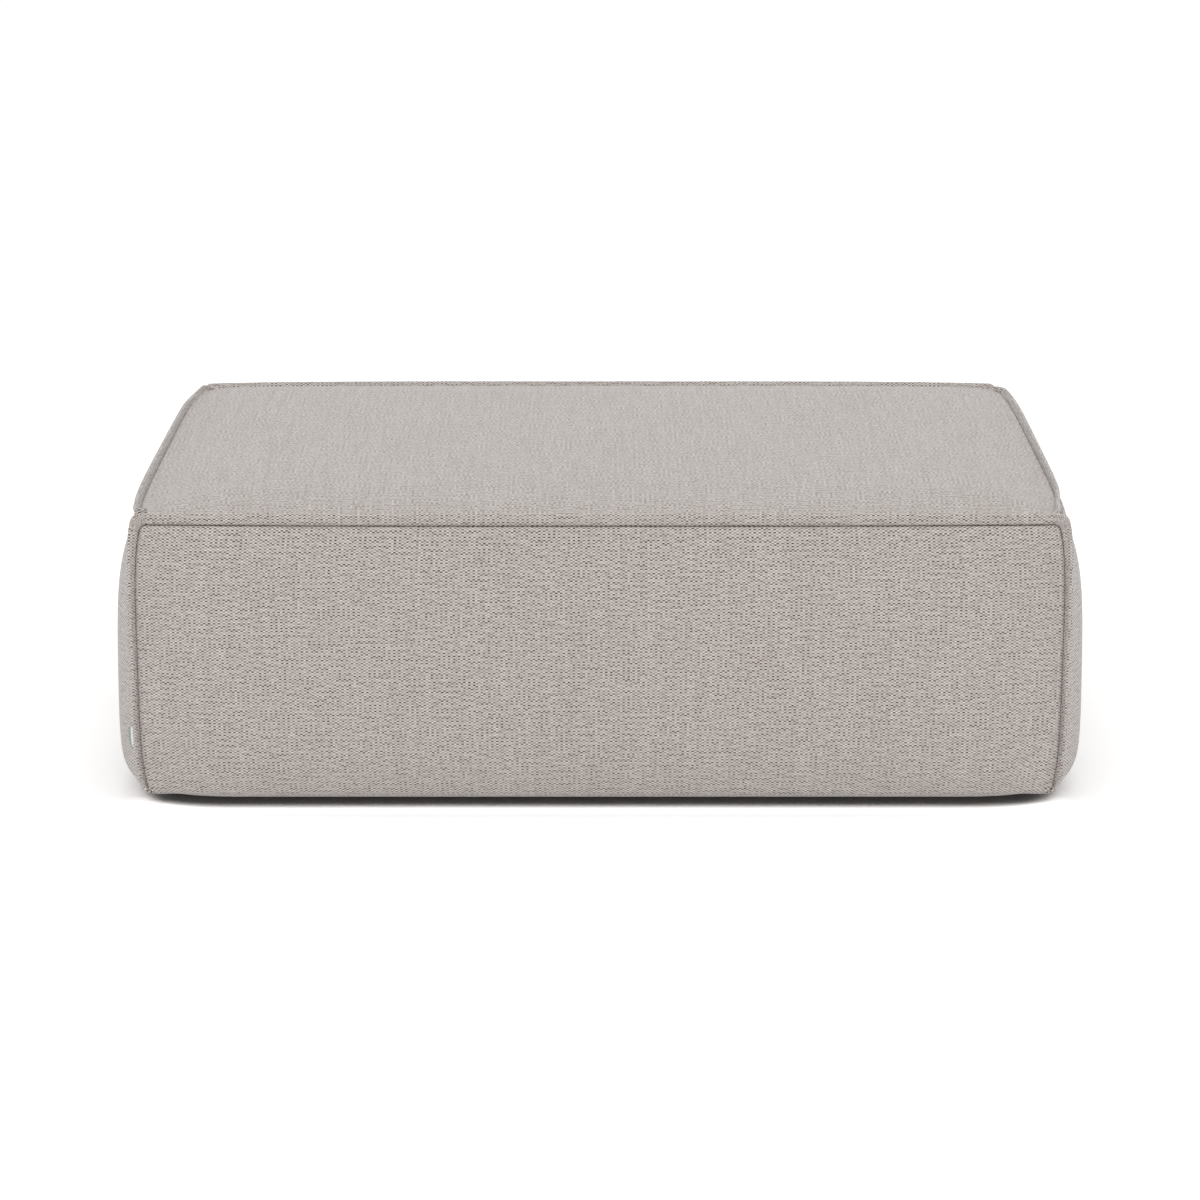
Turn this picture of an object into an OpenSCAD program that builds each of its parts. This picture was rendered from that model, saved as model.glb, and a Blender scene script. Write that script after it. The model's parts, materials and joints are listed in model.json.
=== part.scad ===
/* [Seams] */
// Width between the corner seams
seam_w = 1110; // [900:10:1400]
// Depth between the corner seams
seam_d = 760; // [640:10:1000]
// Height of the top seam above the floor, at the corners
seam_h = 346; // [320:1:420]
// How far the top seam bows outward at the middle of a side
seam_bow = 11; // [0:1:16]
// How far a corner seam bows outward at mid height
corner_bow = 7; // [0:1:10]
// How far the top seam rises from the corners to the middle of a side
seam_rise = 4; // [0:1:8]

/* [Cover] */
// Thickness of the woven cover
cloth_t = 1.2; // [0.8:0.1:2]
// Height of the crowned top above the top seam
top_crown = 25; // [10:1:35]
// Further gentle rise towards the middle of the top
top_dome = 5; // [0:1:12]
// Bulge of the front and back panels
front_bulge = 26; // [10:1:34]
// Bulge of the left and right panels
side_bulge = 30; // [10:1:34]
// Distance from a seam over which a panel swells to its full bulge
swell_reach = 110; // [80:1:150]
// Clear height between the floor and the underside of the cover
floor_gap = 12; // [8:1:30]
// Radius of the turn at the bottom of the side panels
turn_radius = 25; // [15:1:28]
// Width of the cover that is turned under the frame
turn_under = 18; // [10:1:22]

/* [Seam ridges] */
// How far the pinched ridge stands out of its seam
ridge_w = 11; // [6:0.5:14]
// Thickness of the ridge
ridge_t = 4; // [2:0.2:5]
// Angle of the top ridges above the horizontal
ridge_tilt = 60; // [30:1:75]
// Radius of the ridge at the top corners of the front and back
ridge_corner = 4; // [2.5:0.5:4.5]

/* [Padding] */
// Thickness of the side pads at the seams
pad_t = 30; // [29:1:45]
// Thickness of the crowned top foam at the seams
top_foam_t = 30; // [20:1:45]
// Thickness of the fibre wadding over the top foam
wadding_t = 5; // [2:0.5:8]

/* [Timber frame] */
// Thickness of the rails
rail_t = 22; // [18:1:30]
// Height of the base rails
base_rail_h = 70; // [50:1:80]
// Height of the top rails
top_rail_h = 60; // [45:1:75]
// Height of the timber frame
frame_h = 196; // [180:1:220]
// Width of the square corner posts
post_w = 45; // [40:1:60]
// Width of the flat posts in the middle of the front and back
mid_post_w = 60; // [40:1:90]
// Height of the spreader rail under the webbing
spreader_h = 40; // [30:1:44]
// Clear space between the webbing and the spreader rail
spreader_drop = 20; // [10:1:30]
// Thickness of the boards that close the frame
board_t = 5; // [3:1:8]

/* [Webbing] */
// Width of the elastic webbing
strap_w = 60; // [40:1:70]
// Thickness of the elastic webbing
strap_t = 2; // [1.5:0.1:2.5]
// Number of straps from front to back
straps_across = 7; // [5:1:9]
// Number of straps from left to right
straps_along = 4; // [3:1:6]
// Distance from the outer face of a rail to the end of a strap
strap_end = 3; // [1:0.5:5]

/* [Underside] */
// Thickness of the dust cloth
dust_t = 0.6; // [0.4:0.1:1]
// How far the dust cloth laps over the turned-under cover
dust_lap = 5; // [3:1:8]
// Diameter of a glide
glide_d = 38; // [30:1:50]
// Diameter of the glide's boss through the dust cloth
glide_boss_d = 18; // [14:1:20]
// Radius of the rounded edge of a glide
glide_edge = 1.5; // [0.5:0.5:2]
// Spacing of the staples that hold the dust cloth
staple_pitch = 160; // [80:5:200]

/* [Fasteners] */
// Diameter of the frame screws
screw_d = 4; // [3:0.5:5]
// Length of the frame screws
screw_l = 40; // [30:1:40]
// Diameter of the glide screws
glide_screw_d = 4; // [3:0.5:5]
// Depth of the glide screws in the timber
glide_screw_bite = 25; // [15:1:30]
// Width of a staple
staple_w = 10; // [8:1:13]
// Thickness of the staple wire
staple_wire = 1.2; // [0.8:0.1:1.5]
// Depth of a staple in the timber
staple_bite = 8; // [5:1:12]

/* [Tag] */
// Height of the blank woven tag
tag_h = 25; // [15:1:40]
// How far the tag stands out of the seam
tag_l = 12; // [8:1:14]
// Thickness of the folded tag
tag_t = 1; // [0.6:0.1:1.5]
// Height of the tag's lower edge above the floor
tag_z = 77; // [60:1:200]

/* [Hidden] */

// Clearance between two soft pieces that have the same shape
soft_gap = 0.3;
// Clearance under the cover panels, which leaves room for the flat facets of both faces
facet_gap = 0.8;
// Clearance round a fastener, on each side
hole_gap = 0.15;
// How far the cover panels stop short of the seam line, where the ridge fills the joint
seam_inset = 3.4;
// How far the foam stops short of the seam line
foam_inset = 6;
// Depth of the ridge's root inside the seam line, and how much thicker it is there
ridge_root = 1.8;
ridge_flare = 1.1;
// Height of the sloping edge of the ridge, and the share of the thickness left at its top
ridge_edge = 2;
ridge_edge_share = 0.4;
// Width that is left of the ridge where it ends under the frame
ridge_tail_w = 4;
// Gap between the end of a side ridge and the front or back ridge
ridge_end_gap = 4;
// Power of the curve that bows a seam: a higher one is straighter in the middle
bow_power = 5;
// Sides of the small hidden screws and their holes
screw_sides = 6;
// Facets of the round pieces
round_facets = 16;

half_w = seam_w / 2;
half_d = seam_d / 2;
frame_z = floor_gap + cloth_t + soft_gap;
frame_top = frame_z + frame_h;
roll_z = floor_gap + turn_radius;
roll_length = turn_radius * PI / 2;
board_x = half_w - pad_t;
board_y = half_d - pad_t;
rail_x = board_x - board_t;
rail_y = board_y - board_t;
inner_x = rail_x - rail_t;
inner_y = rail_y - rail_t;
post_x = inner_x - post_w / 2;
post_y = inner_y - post_w / 2;
seat_z = frame_top + 2 * strap_t;
top_foam_z = seam_h - top_foam_t;
screw_head_d = 2 * screw_d;
screw_head_h = screw_d / 2;
screw_edge = 15;
glide_head_d = 2.3 * glide_screw_d;
glide_head_sunk = 2;
glide_shoulder_z = floor_gap - dust_t;
// Length of the step that lifts one layer of straps over the other, and the room beside it
strap_step = 15;
strap_margin = 5;
glide_head_h = glide_head_d / 2 - glide_screw_d / 2;

// Grid cells of the cover panels: in the swell next to a seam, in the straight middle of
// each side, and round the turn at the bottom. The foam takes every second grid line
swell_cells = 6;
middle_cells_w = 6;
middle_cells_d = 4;
middle_rows = 2;
low_rows = 2;
turn_rows = 4;
foam_step = 2;
// Share of the swell that the fine cells cover, and the power by which they grow
swell_over = 1.05;
cell_growth = 1.25;

cloth_colour = "#b6aea8";
ridge_colour = "#a9a19b";
timber_colour = "#d8b98a";
board_colour = "#a58359";
foam_colour = "#f1e7b6";
wadding_colour = "#f6f5f2";
steel_colour = "#b9bcc0";
webbing_colour = "#4a4744";
dust_colour = "#2a2a2c";
plastic_colour = "#232323";
tag_colour = "#eef1ee";

function bow(t) = 1 - pow(abs(t), bow_power);
function swell(s) = s >= swell_reach ? 1 : s <= 0 ? 0 : 1 - pow(1 - s / swell_reach, 3);
function mix(a, b, t) = a + (b - a) * t;
function unit(v) = v / norm(v);
function every(list, step) = [for (i = [0 : step : len(list) - 1]) list[i]];
// Distances from a seam, closer together near it, over the swell and slightly past it
swell_places = [for (i = [0 : swell_cells]) swell_over * swell_reach * pow(i / swell_cells, cell_growth)];
// Places from -1 to 1 across a panel of that half size
function places(half, middle) =
    let (shares = [for (s = swell_places) 1 - s / half], last = shares[swell_cells])
    concat(
        [for (t = shares) -t],
        [for (i = [1 : middle - 1]) mix(-last, last, i / middle)],
        [for (i = [swell_cells : -1 : 0]) shares[i]]
    );
places_w = places(half_w, middle_cells_w);
places_d = places(half_d, middle_cells_d);
function ease(t) = (1 - cos(180 * t)) / 2;
function level(z) = (z - floor_gap) / (seam_h - floor_gap);
function corner_out(z) = corner_bow * bow(2 * level(z) - 1);

// Triangles of one face of a grid, with the diagonals mirrored from quarter to quarter
function quad(a, b, c, d, turned) = turned ? [[a, b, c], [a, c, d]] : [[a, b, d], [b, c, d]];
function grid_triangles(rows, cols, first, flipped) = [
    for (r = [0 : rows - 1], c = [0 : cols - 1])
        let (
            a = first + r * (cols + 1) + c,
            b = a + 1,
            d = a + cols + 1,
            turned = (r < rows / 2) == (c < cols / 2)
        )
        each flipped ? quad(a, d, d + 1, b, turned) : quad(a, b, d + 1, d, turned)
];

// Index of each point round the edge of a grid, in order
function rim(rows, cols) = concat(
    [for (c = [0 : cols - 1]) c],
    [for (r = [0 : rows - 1]) r * (cols + 1) + cols],
    [for (c = [cols : -1 : 1]) rows * (cols + 1) + c],
    [for (r = [rows : -1 : 1]) r * (cols + 1)]
);

// Closed solid between an outer and an inner grid of the same size
module between(outer, inner) {
    rows = len(outer) - 1;
    cols = len(outer[0]) - 1;
    count = (rows + 1) * (cols + 1);
    edge = rim(rows, cols);
    polyhedron(
        points = concat([for (row = outer) each row], [for (row = inner) each row]),
        faces = concat(
            grid_triangles(rows, cols, 0, false),
            grid_triangles(rows, cols, count, true),
            [for (i = [0 : len(edge) - 1])
                let (a = edge[i], b = edge[(i + 1) % len(edge)])
                each [[a, a + count, b], [b, a + count, b + count]]]
        )
    );
}

// Heights of the rows of a side panel's upright part, as shares from its top to the turn
wall_h = seam_h - roll_z;
low_h = swell_reach - roll_length;
middle_h = wall_h - swell_places[swell_cells] - low_h;
row_shares = concat(
    [for (s = swell_places) s / wall_h],
    [for (i = [1 : middle_rows]) (swell_places[swell_cells] + middle_h * i / middle_rows) / wall_h],
    [for (i = [low_rows - 1 : -1 : 0]) 1 - low_h * pow(i / low_rows, cell_growth) / wall_h]
);

// Stations down a side panel: depth behind the seam plane, height, distance from the
// panel's lower edge, and the two parts of the inward normal
function wall_station(share, top_z) =
    let (z = mix(top_z, roll_z, share))
    [0, z, roll_length + z - roll_z, 1, 0];
function turn_station(turn) = [
    turn_radius * (1 - cos(turn)), floor_gap + turn_radius * (1 - sin(turn)),
    roll_length * (1 - turn / 90), cos(turn), sin(turn)
];
under_station = [turn_radius + turn_under, floor_gap, 0, 0, 1];
function stations(top_z, step) = concat(
    [for (share = every(row_shares, step)) wall_station(share, top_z)],
    [for (i = [step : step : turn_rows]) turn_station(90 * i / turn_rows)]
);

// Point of a side panel that faces the front: u runs from -1 to 1 across it
function side_point(u, s, half_across, half_out, bulge, inset, reach, depth) =
    let (
        edge = half_across + corner_out(s[1]) - s[0],
        x = u * min(edge - inset, reach),
        seam_z = seam_h + seam_rise * bow(u),
        out = half_out + corner_out(s[1]) + seam_bow * bow(u) * level(s[1])
            + bulge * swell(edge - abs(x)) * swell(seam_z - s[1]) * swell(s[2]) - s[0]
    )
    [x, depth * s[3] - out, s[1] + depth * s[4]];

// The woven shell of a side panel, with its lower edge turned under the frame
module side_cover(half_across, half_out, bulge, across) {
    rows = len(stations(seam_h, 1));
    function top_z(u) = seam_h + seam_rise * bow(u) - seam_inset;
    function row_station(i, u) = i == rows ? under_station : stations(top_z(u), 1)[i];
    function point(u, s, depth) =
        side_point(u, s, half_across, half_out, bulge, seam_inset, 2 * half_across, depth);
    function grid(depth) = [
        for (i = [0 : rows]) [for (u = across) point(u, row_station(i, u), depth)]
    ];
    color(cloth_colour) between(grid(0), grid(cloth_t));
}

// Foam pad between a side cover and its board
module side_pad(half_across, half_out, bulge, across, reach) {
    depth = cloth_t + facet_gap;
    outer = [
        for (s = stations(top_foam_z, foam_step)) [
            for (u = every(across, foam_step))
                side_point(u, s, half_across, half_out, bulge, foam_inset, reach, depth)
        ]
    ];
    inner = [for (row = outer) [for (p = row) [p[0], pad_t - half_out, p[2]]]];
    color(foam_colour) between(outer, inner);
}

// Point of the top panel, a depth below its outer face
function top_point(u, v, inset, depth) =
    let (
        edge_x = half_w + seam_bow * bow(v),
        edge_y = half_d + seam_bow * bow(u),
        x = u * (edge_x - inset),
        y = v * (edge_y - inset),
        rise = seam_rise * (1 - (1 - bow(u)) * (1 - bow(v))),
        crown = top_crown * swell(edge_x - abs(x)) * swell(edge_y - abs(y)),
        dome = top_dome * (1 - u * u) * (1 - v * v)
    )
    [x, y, seam_h + rise + crown + dome - depth];
function top_grid(step, inset, depth) = [
    for (v = every(places_d, step)) [for (u = every(places_w, step)) top_point(u, v, inset, depth)]
];

// Points of the seams
function top_seam(u, across, out) =
    [u * across, -(out + seam_bow * bow(u)), seam_h + seam_rise * bow(u)];
function corner_seam(z, back) = [-(half_w + corner_out(z) - back), -(half_d + corner_out(z) - back), z];

// Ridge swept along a path. Each ring holds a point, the way the ridge stands and its width
module ridge(rings) {
    count = len(rings);
    half_t = ridge_t / 2;
    edge_t = half_t * ridge_edge_share;
    function section(w) =
        let (root_t = half_t * ridge_flare * w / ridge_w)
        [
            [-ridge_root, -root_t], [w - ridge_edge, -half_t], [w, -edge_t],
            [w, edge_t], [w - ridge_edge, half_t], [-ridge_root, root_t]
        ];
    sides = len(section(ridge_w));
    points = [
        for (i = [0 : count - 1])
            let (
                along = rings[min(i + 1, count - 1)][0] - rings[max(i - 1, 0)][0],
                out = unit(rings[i][1] - unit(along) * (unit(along) * rings[i][1])),
                across = unit(cross(along, out))
            )
            for (p = section(rings[i][2])) rings[i][0] + out * p[0] + across * p[1]
    ];
    last = (count - 1) * sides;
    color(ridge_colour) polyhedron(
        points = points,
        faces = concat(
            [for (i = [0 : count - 2], k = [0 : sides - 1])
                let (a = i * sides + k, b = i * sides + (k + 1) % sides)
                each [[a, b, a + sides], [b, b + sides, a + sides]]],
            [for (k = [1 : sides - 2]) each [[0, k + 1, k], [last, last + k, last + k + 1]]]
        )
    );
}

// Left half of the ridge round the front panel, from its tail under the frame up to the middle
function front_ridge_half() =
    let (
        up = [0, -cos(ridge_tilt), sin(ridge_tilt)],
        out = unit([-1, -1, 0]),
        down = [0, 0, -1],
        arc_z = seam_h - ridge_corner,
        rolls = 4,
        rises = 6,
        turns = 3
    )
    concat(
        [for (i = [0 : rolls - 1])
            let (
                t = 90 * (1 - i / rolls),
                z = floor_gap + turn_radius * (1 - sin(t))
            )
            [corner_seam(z, turn_radius * (1 - cos(t))), unit(mix(out, down, t / 90)),
                mix(ridge_w, ridge_tail_w, t / 90)]],
        [for (i = [0 : rises]) [corner_seam(mix(roll_z, arc_z, ease(i / rises)), 0), out, ridge_w]],
        [for (i = [1 : turns])
            let (t = 90 * i / turns)
            [corner_seam(arc_z + ridge_corner * sin(t), 0) + [ridge_corner * (1 - cos(t)), 0, 0],
                unit(mix(out, up, i / turns)), ridge_w]],
        [for (i = [1 : (len(places_w) - 1) / 2]) [top_seam(places_w[i], half_w, half_d), up, ridge_w]]
    );
module front_ridge() {
    half = front_ridge_half();
    function mirrored(p) = [-p[0], p[1], p[2]];
    ridge(concat(half, [
        for (i = [len(half) - 2 : -1 : 0]) [mirrored(half[i][0]), mirrored(half[i][1]), half[i][2]]
    ]));
}

// Ridge along the top of the left side, turned to lie on the front
module side_ridge() {
    limit = 1 - ridge_end_gap / half_d;
    ridge([for (v = places_d)
        [top_seam(v * limit, half_d, half_w), [0, -cos(ridge_tilt), sin(ridge_tilt)], ridge_w]]);
}

module mirrored_x() {
    children();
    mirror([1, 0, 0]) children();
}
module mirrored_y() {
    children();
    mirror([0, 1, 0]) children();
}

// Box from its low corner to its high corner
module block(low, high) {
    translate(low) cube(high - low);
}

// Frame screw that points along +Y, with its head flush at the origin
module frame_screw(gap = 0) {
    turn = 180 / screw_sides;
    rotate([-90, 0, 0]) rotate([0, 0, turn]) {
        $fn = screw_sides;
        cylinder(h = screw_l + gap, d = screw_d + 2 * gap);
        cylinder(h = screw_head_h + gap, d1 = screw_head_d + 2 * gap, d2 = screw_d + 2 * gap);
    }
}

// Screws of one quarter of the frame, the front left
module quarter_screws(gap = 0) {
    for (z = [frame_z + screw_edge, frame_z + base_rail_h - screw_edge,
            frame_top - top_rail_h + screw_edge, frame_top - screw_edge])
        translate([-post_x, -rail_y, z]) frame_screw(gap);
    for (z = [frame_z + base_rail_h / 2, frame_top - top_rail_h / 2])
        translate([-rail_x, -post_y, z]) rotate([0, 0, -90]) frame_screw(gap);
}
// Screws into the ends of the centre rail and the spreader rail, at the front
module middle_screws(gap = 0) {
    for (z = [frame_z + base_rail_h / 2, frame_top - spreader_drop - spreader_h / 2])
        translate([0, -rail_y, z]) frame_screw(gap);
}
module all_frame_screws(gap = 0) {
    mirrored_y() {
        mirrored_x() quarter_screws(gap);
        middle_screws(gap);
    }
}

// Staple with its crown along X on the face z = 0, and its legs down
module staple(legs) {
    out = staple_w / 2;
    hollow = staple_w / 2 - staple_wire;
    rotate([90, 0, 0]) linear_extrude(height = staple_wire, center = true)
        polygon([
            [-out, staple_wire], [-out, -legs], [-hollow, -legs], [-hollow, 0],
            [hollow, 0], [hollow, -legs], [out, -legs], [out, staple_wire]
        ]);
}
// Slot that the legs of a staple go into
module staple_slot(legs) {
    out = [staple_w / 2 + hole_gap, staple_wire / 2 + hole_gap, legs + hole_gap];
    block(-out, [out[0], out[1], staple_wire]);
}
module staple_or_slot(legs, slot) {
    if (slot) staple_slot(legs);
    else staple(legs);
}

// Even places for n straps between two inner faces
function strap_places(n, inner) =
    let (last = inner - strap_w / 2 - strap_step - strap_margin)
    [for (i = [0 : n - 1]) mix(-last, last, i / (n - 1))];
function rail_middle(rail) = rail - rail_t / 2;
module strap_end_staples(slot = false) {
    for (side = [-1, 1], shift = [-strap_w / 4, strap_w / 4]) {
        for (x = strap_places(straps_across, inner_x))
            translate([x + shift, side * rail_middle(rail_y), frame_top + strap_t])
                staple_or_slot(strap_t + staple_bite, slot);
        for (y = strap_places(straps_along, inner_y))
            translate([side * rail_middle(rail_x), y + shift, frame_top + strap_t])
                rotate([0, 0, 90]) staple_or_slot(strap_t + staple_bite, slot);
    }
}

// Places of the staples along a line, from one end to the other
function staple_line(half_length) =
    let (n = max(2, round(2 * half_length / staple_pitch)))
    [for (i = [0 : n]) mix(-half_length, half_length, i / n)];
module bottom_staples(slot = false) {
    legs = frame_z - glide_shoulder_z + staple_bite;
    staple_x = inner_x + rail_t / 3;
    staple_y = inner_y + rail_t / 3;
    for (side = [-1, 1]) {
        for (x = staple_line(inner_x - staple_w))
            translate([x, side * staple_y, glide_shoulder_z])
                rotate([180, 0, 0]) staple_or_slot(legs, slot);
        for (y = staple_line(inner_y - staple_w))
            translate([side * staple_x, y, glide_shoulder_z])
                rotate([180, 0, 90]) staple_or_slot(legs, slot);
    }
}

// Centres of the glides, under the corner posts and the centre rail
function glide_place(side, end) = [side * post_x, end * post_y, 0];
module glide_screw(gap = 0) {
    shank = frame_z - glide_head_sunk + glide_screw_bite;
    translate([0, 0, glide_head_sunk]) {
        $fn = screw_sides;
        cylinder(h = shank + gap, d = glide_screw_d + 2 * gap);
        cylinder(h = glide_head_h, d1 = glide_head_d, d2 = glide_screw_d);
    }
}
module all_glide_screws(gap = 0) {
    for (side = [-1, 0, 1], end = [-1, 1]) translate(glide_place(side, end)) glide_screw(gap);
}

// Glide with a rounded foot, a boss through the dust cloth and a countersunk hole
module glide(side, end) {
    foot_r = glide_d / 2;
    bore_r = glide_screw_d / 2 + hole_gap;
    sink_r = glide_head_d / 2 + hole_gap;
    color(plastic_colour) translate(glide_place(side, end)) rotate_extrude($fn = round_facets)
        polygon([
            [sink_r, 0], [foot_r - glide_edge, 0], [foot_r, glide_edge], [foot_r, glide_shoulder_z / 2],
            [foot_r - 2 * glide_edge, glide_shoulder_z], [glide_boss_d / 2, glide_shoulder_z],
            [glide_boss_d / 2, frame_z], [bore_r, frame_z],
            [bore_r, glide_head_sunk + sink_r - bore_r], [sink_r, glide_head_sunk]
        ]);
}

// Rails of the base and the top, the front one of each
module long_rail(low_z, high_z) {
    color(timber_colour) difference() {
        block([-rail_x, -rail_y, low_z], [rail_x, -inner_y, high_z]);
        mirrored_x() quarter_screws(hole_gap);
        middle_screws(hole_gap);
        strap_end_staples(true);
        bottom_staples(true);
    }
}
// The left one of each, between the long rails
module short_rail(low_z, high_z) {
    color(timber_colour) difference() {
        block([-rail_x, -inner_y, low_z], [-inner_x, inner_y, high_z]);
        mirrored_y() quarter_screws(hole_gap);
        strap_end_staples(true);
        bottom_staples(true);
    }
}
module base_rail_front() long_rail(frame_z, frame_z + base_rail_h);
module base_rail_back() mirror([0, 1, 0]) base_rail_front();
module base_rail_left() short_rail(frame_z, frame_z + base_rail_h);
module base_rail_right() mirror([1, 0, 0]) base_rail_left();
module top_rail_front() long_rail(frame_top - top_rail_h, frame_top);
module top_rail_back() mirror([0, 1, 0]) top_rail_front();
module top_rail_left() short_rail(frame_top - top_rail_h, frame_top);
module top_rail_right() mirror([1, 0, 0]) top_rail_left();

module centre_rail() {
    color(timber_colour) difference() {
        block([-rail_t / 2, -inner_y, frame_z], [rail_t / 2, inner_y, frame_z + base_rail_h]);
        mirrored_y() middle_screws(hole_gap);
        all_glide_screws(hole_gap);
    }
}
module spreader_rail() {
    high_z = frame_top - spreader_drop;
    color(timber_colour) difference() {
        block([-rail_t / 2, -inner_y, high_z - spreader_h], [rail_t / 2, inner_y, high_z]);
        mirrored_y() middle_screws(hole_gap);
    }
}

module corner_post() {
    color(timber_colour) difference() {
        block([-inner_x, -inner_y, frame_z], [post_w - inner_x, post_w - inner_y, frame_top]);
        quarter_screws(hole_gap);
        all_glide_screws(hole_gap);
    }
}
module corner_post_front_left() corner_post();
module corner_post_front_right() mirror([1, 0, 0]) corner_post();
module corner_post_back_left() mirror([0, 1, 0]) corner_post();
module corner_post_back_right() rotate([0, 0, 180]) corner_post();

module mid_post_front() {
    low = [-mid_post_w / 2, -rail_y, frame_z + base_rail_h];
    high = [mid_post_w / 2, -inner_y, frame_top - top_rail_h];
    color(timber_colour) block(low, high);
}
module mid_post_back() mirror([0, 1, 0]) mid_post_front();

module board_front() {
    color(board_colour) block([-board_x, -board_y, frame_z], [board_x, -rail_y, frame_top]);
}
module board_back() mirror([0, 1, 0]) board_front();
module board_left() {
    color(board_colour) block([-board_x, -rail_y, frame_z], [-rail_x, rail_y, frame_top]);
}
module board_right() mirror([1, 0, 0]) board_left();

module frame_screws() color(steel_colour) all_frame_screws();

// Straps from front to back, flat on the long rails
module webbing_across() {
    end_y = rail_y - strap_end;
    color(webbing_colour) difference() {
        for (x = strap_places(straps_across, inner_x))
            block([x - strap_w / 2, -end_y, frame_top], [x + strap_w / 2, end_y, frame_top + strap_t]);
        strap_end_staples(true);
    }
}
// Straps from left to right, which step up over the others between the short rails
module webbing_along() {
    low = frame_top;
    high = frame_top + strap_t;
    end_x = rail_x - strap_end;
    field_x = inner_x - strap_step;
    lower = [
        [-end_x, low], [-inner_x, low], [-field_x, high],
        [field_x, high], [inner_x, low], [end_x, low]
    ];
    upper = [for (i = [len(lower) - 1 : -1 : 0]) lower[i] + [0, strap_t]];
    color(webbing_colour) difference() {
        for (y = strap_places(straps_along, inner_y))
            translate([0, y, 0]) rotate([90, 0, 0]) linear_extrude(height = strap_w, center = true)
                polygon(concat(lower, upper));
        strap_end_staples(true);
    }
}
module webbing_staples() color(steel_colour) strap_end_staples();

module seat_foam() {
    color(foam_colour) block([-board_x, -board_y, seat_z], [board_x, board_y, top_foam_z]);
}
module top_foam() {
    outer = top_grid(foam_step, foam_inset, cloth_t + facet_gap + wadding_t + soft_gap);
    color(foam_colour) between(outer, [for (row = outer) [for (p = row) [p[0], p[1], top_foam_z]]]);
}
module top_wadding() {
    depth = cloth_t + facet_gap;
    outer = top_grid(foam_step, foam_inset, depth);
    inner = top_grid(foam_step, foam_inset, depth + wadding_t);
    color(wadding_colour) between(outer, inner);
}

module pad_front() side_pad(half_w, half_d, front_bulge, places_w, board_x);
module pad_back() mirror([0, 1, 0]) pad_front();
module pad_left() rotate([0, 0, -90]) side_pad(half_d, half_w, side_bulge, places_d, half_d - foam_inset);
module pad_right() mirror([1, 0, 0]) pad_left();

module cover_top() {
    color(cloth_colour) between(top_grid(1, seam_inset, 0), top_grid(1, seam_inset, cloth_t));
}
module cover_front() side_cover(half_w, half_d, front_bulge, places_w);
module cover_back() mirror([0, 1, 0]) cover_front();
module cover_left() rotate([0, 0, -90]) side_cover(half_d, half_w, side_bulge, places_d);
module cover_right() mirror([1, 0, 0]) cover_left();

module ridge_front() front_ridge();
module ridge_back() mirror([0, 1, 0]) front_ridge();
module ridge_left() rotate([0, 0, -90]) side_ridge();
module ridge_right() mirror([1, 0, 0]) ridge_left();

// Blank tag caught in the front left corner seam, flat along the left panel
module blank_tag() {
    near = seam_inset + soft_gap;
    corner = corner_out(tag_z + tag_h / 2);
    out_at = half_w + corner + side_bulge * swell(near) + soft_gap;
    lean = atan(side_bulge * (swell(near) - swell(0)) / near);
    color(tag_colour) translate([-out_at, near - half_d - corner, tag_z])
        rotate([0, 0, lean]) translate([-tag_t, 0, 0]) cube([tag_t, tag_l, tag_h]);
}

module dust_cloth() {
    x = half_w - turn_radius - turn_under + dust_lap;
    y = half_d - turn_radius - turn_under + dust_lap;
    hole_d = glide_boss_d + 2 * hole_gap;
    color(dust_colour) difference() {
        block([-x, -y, glide_shoulder_z], [x, y, floor_gap]);
        for (side = [-1, 0, 1], end = [-1, 1])
            translate(glide_place(side, end)) cylinder(h = frame_z, d = hole_d, $fn = round_facets);
        bottom_staples(true);
    }
}
module dust_cloth_staples() color(steel_colour) bottom_staples();

module glide_front_left() glide(-1, -1);
module glide_front_middle() glide(0, -1);
module glide_front_right() glide(1, -1);
module glide_back_left() glide(-1, 1);
module glide_back_middle() glide(0, 1);
module glide_back_right() glide(1, 1);
module glide_screws() color(steel_colour) all_glide_screws();

base_rail_front();
base_rail_back();
base_rail_left();
base_rail_right();
centre_rail();
top_rail_front();
top_rail_back();
top_rail_left();
top_rail_right();
spreader_rail();
corner_post_front_left();
corner_post_front_right();
corner_post_back_left();
corner_post_back_right();
mid_post_front();
mid_post_back();
board_front();
board_back();
board_left();
board_right();
frame_screws();
webbing_across();
webbing_along();
webbing_staples();
seat_foam();
top_foam();
top_wadding();
pad_front();
pad_back();
pad_left();
pad_right();
cover_top();
cover_front();
cover_back();
cover_left();
cover_right();
ridge_front();
ridge_back();
ridge_left();
ridge_right();
blank_tag();
dust_cloth();
dust_cloth_staples();
glide_front_left();
glide_front_middle();
glide_front_right();
glide_back_left();
glide_back_middle();
glide_back_right();
glide_screws();
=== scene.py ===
"""Looks of a wide upholstered ottoman with pinched seam ridges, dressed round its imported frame."""

import json
import logging
import math
from dataclasses import dataclass, field
from enum import Enum
from typing import Any, Optional

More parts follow.
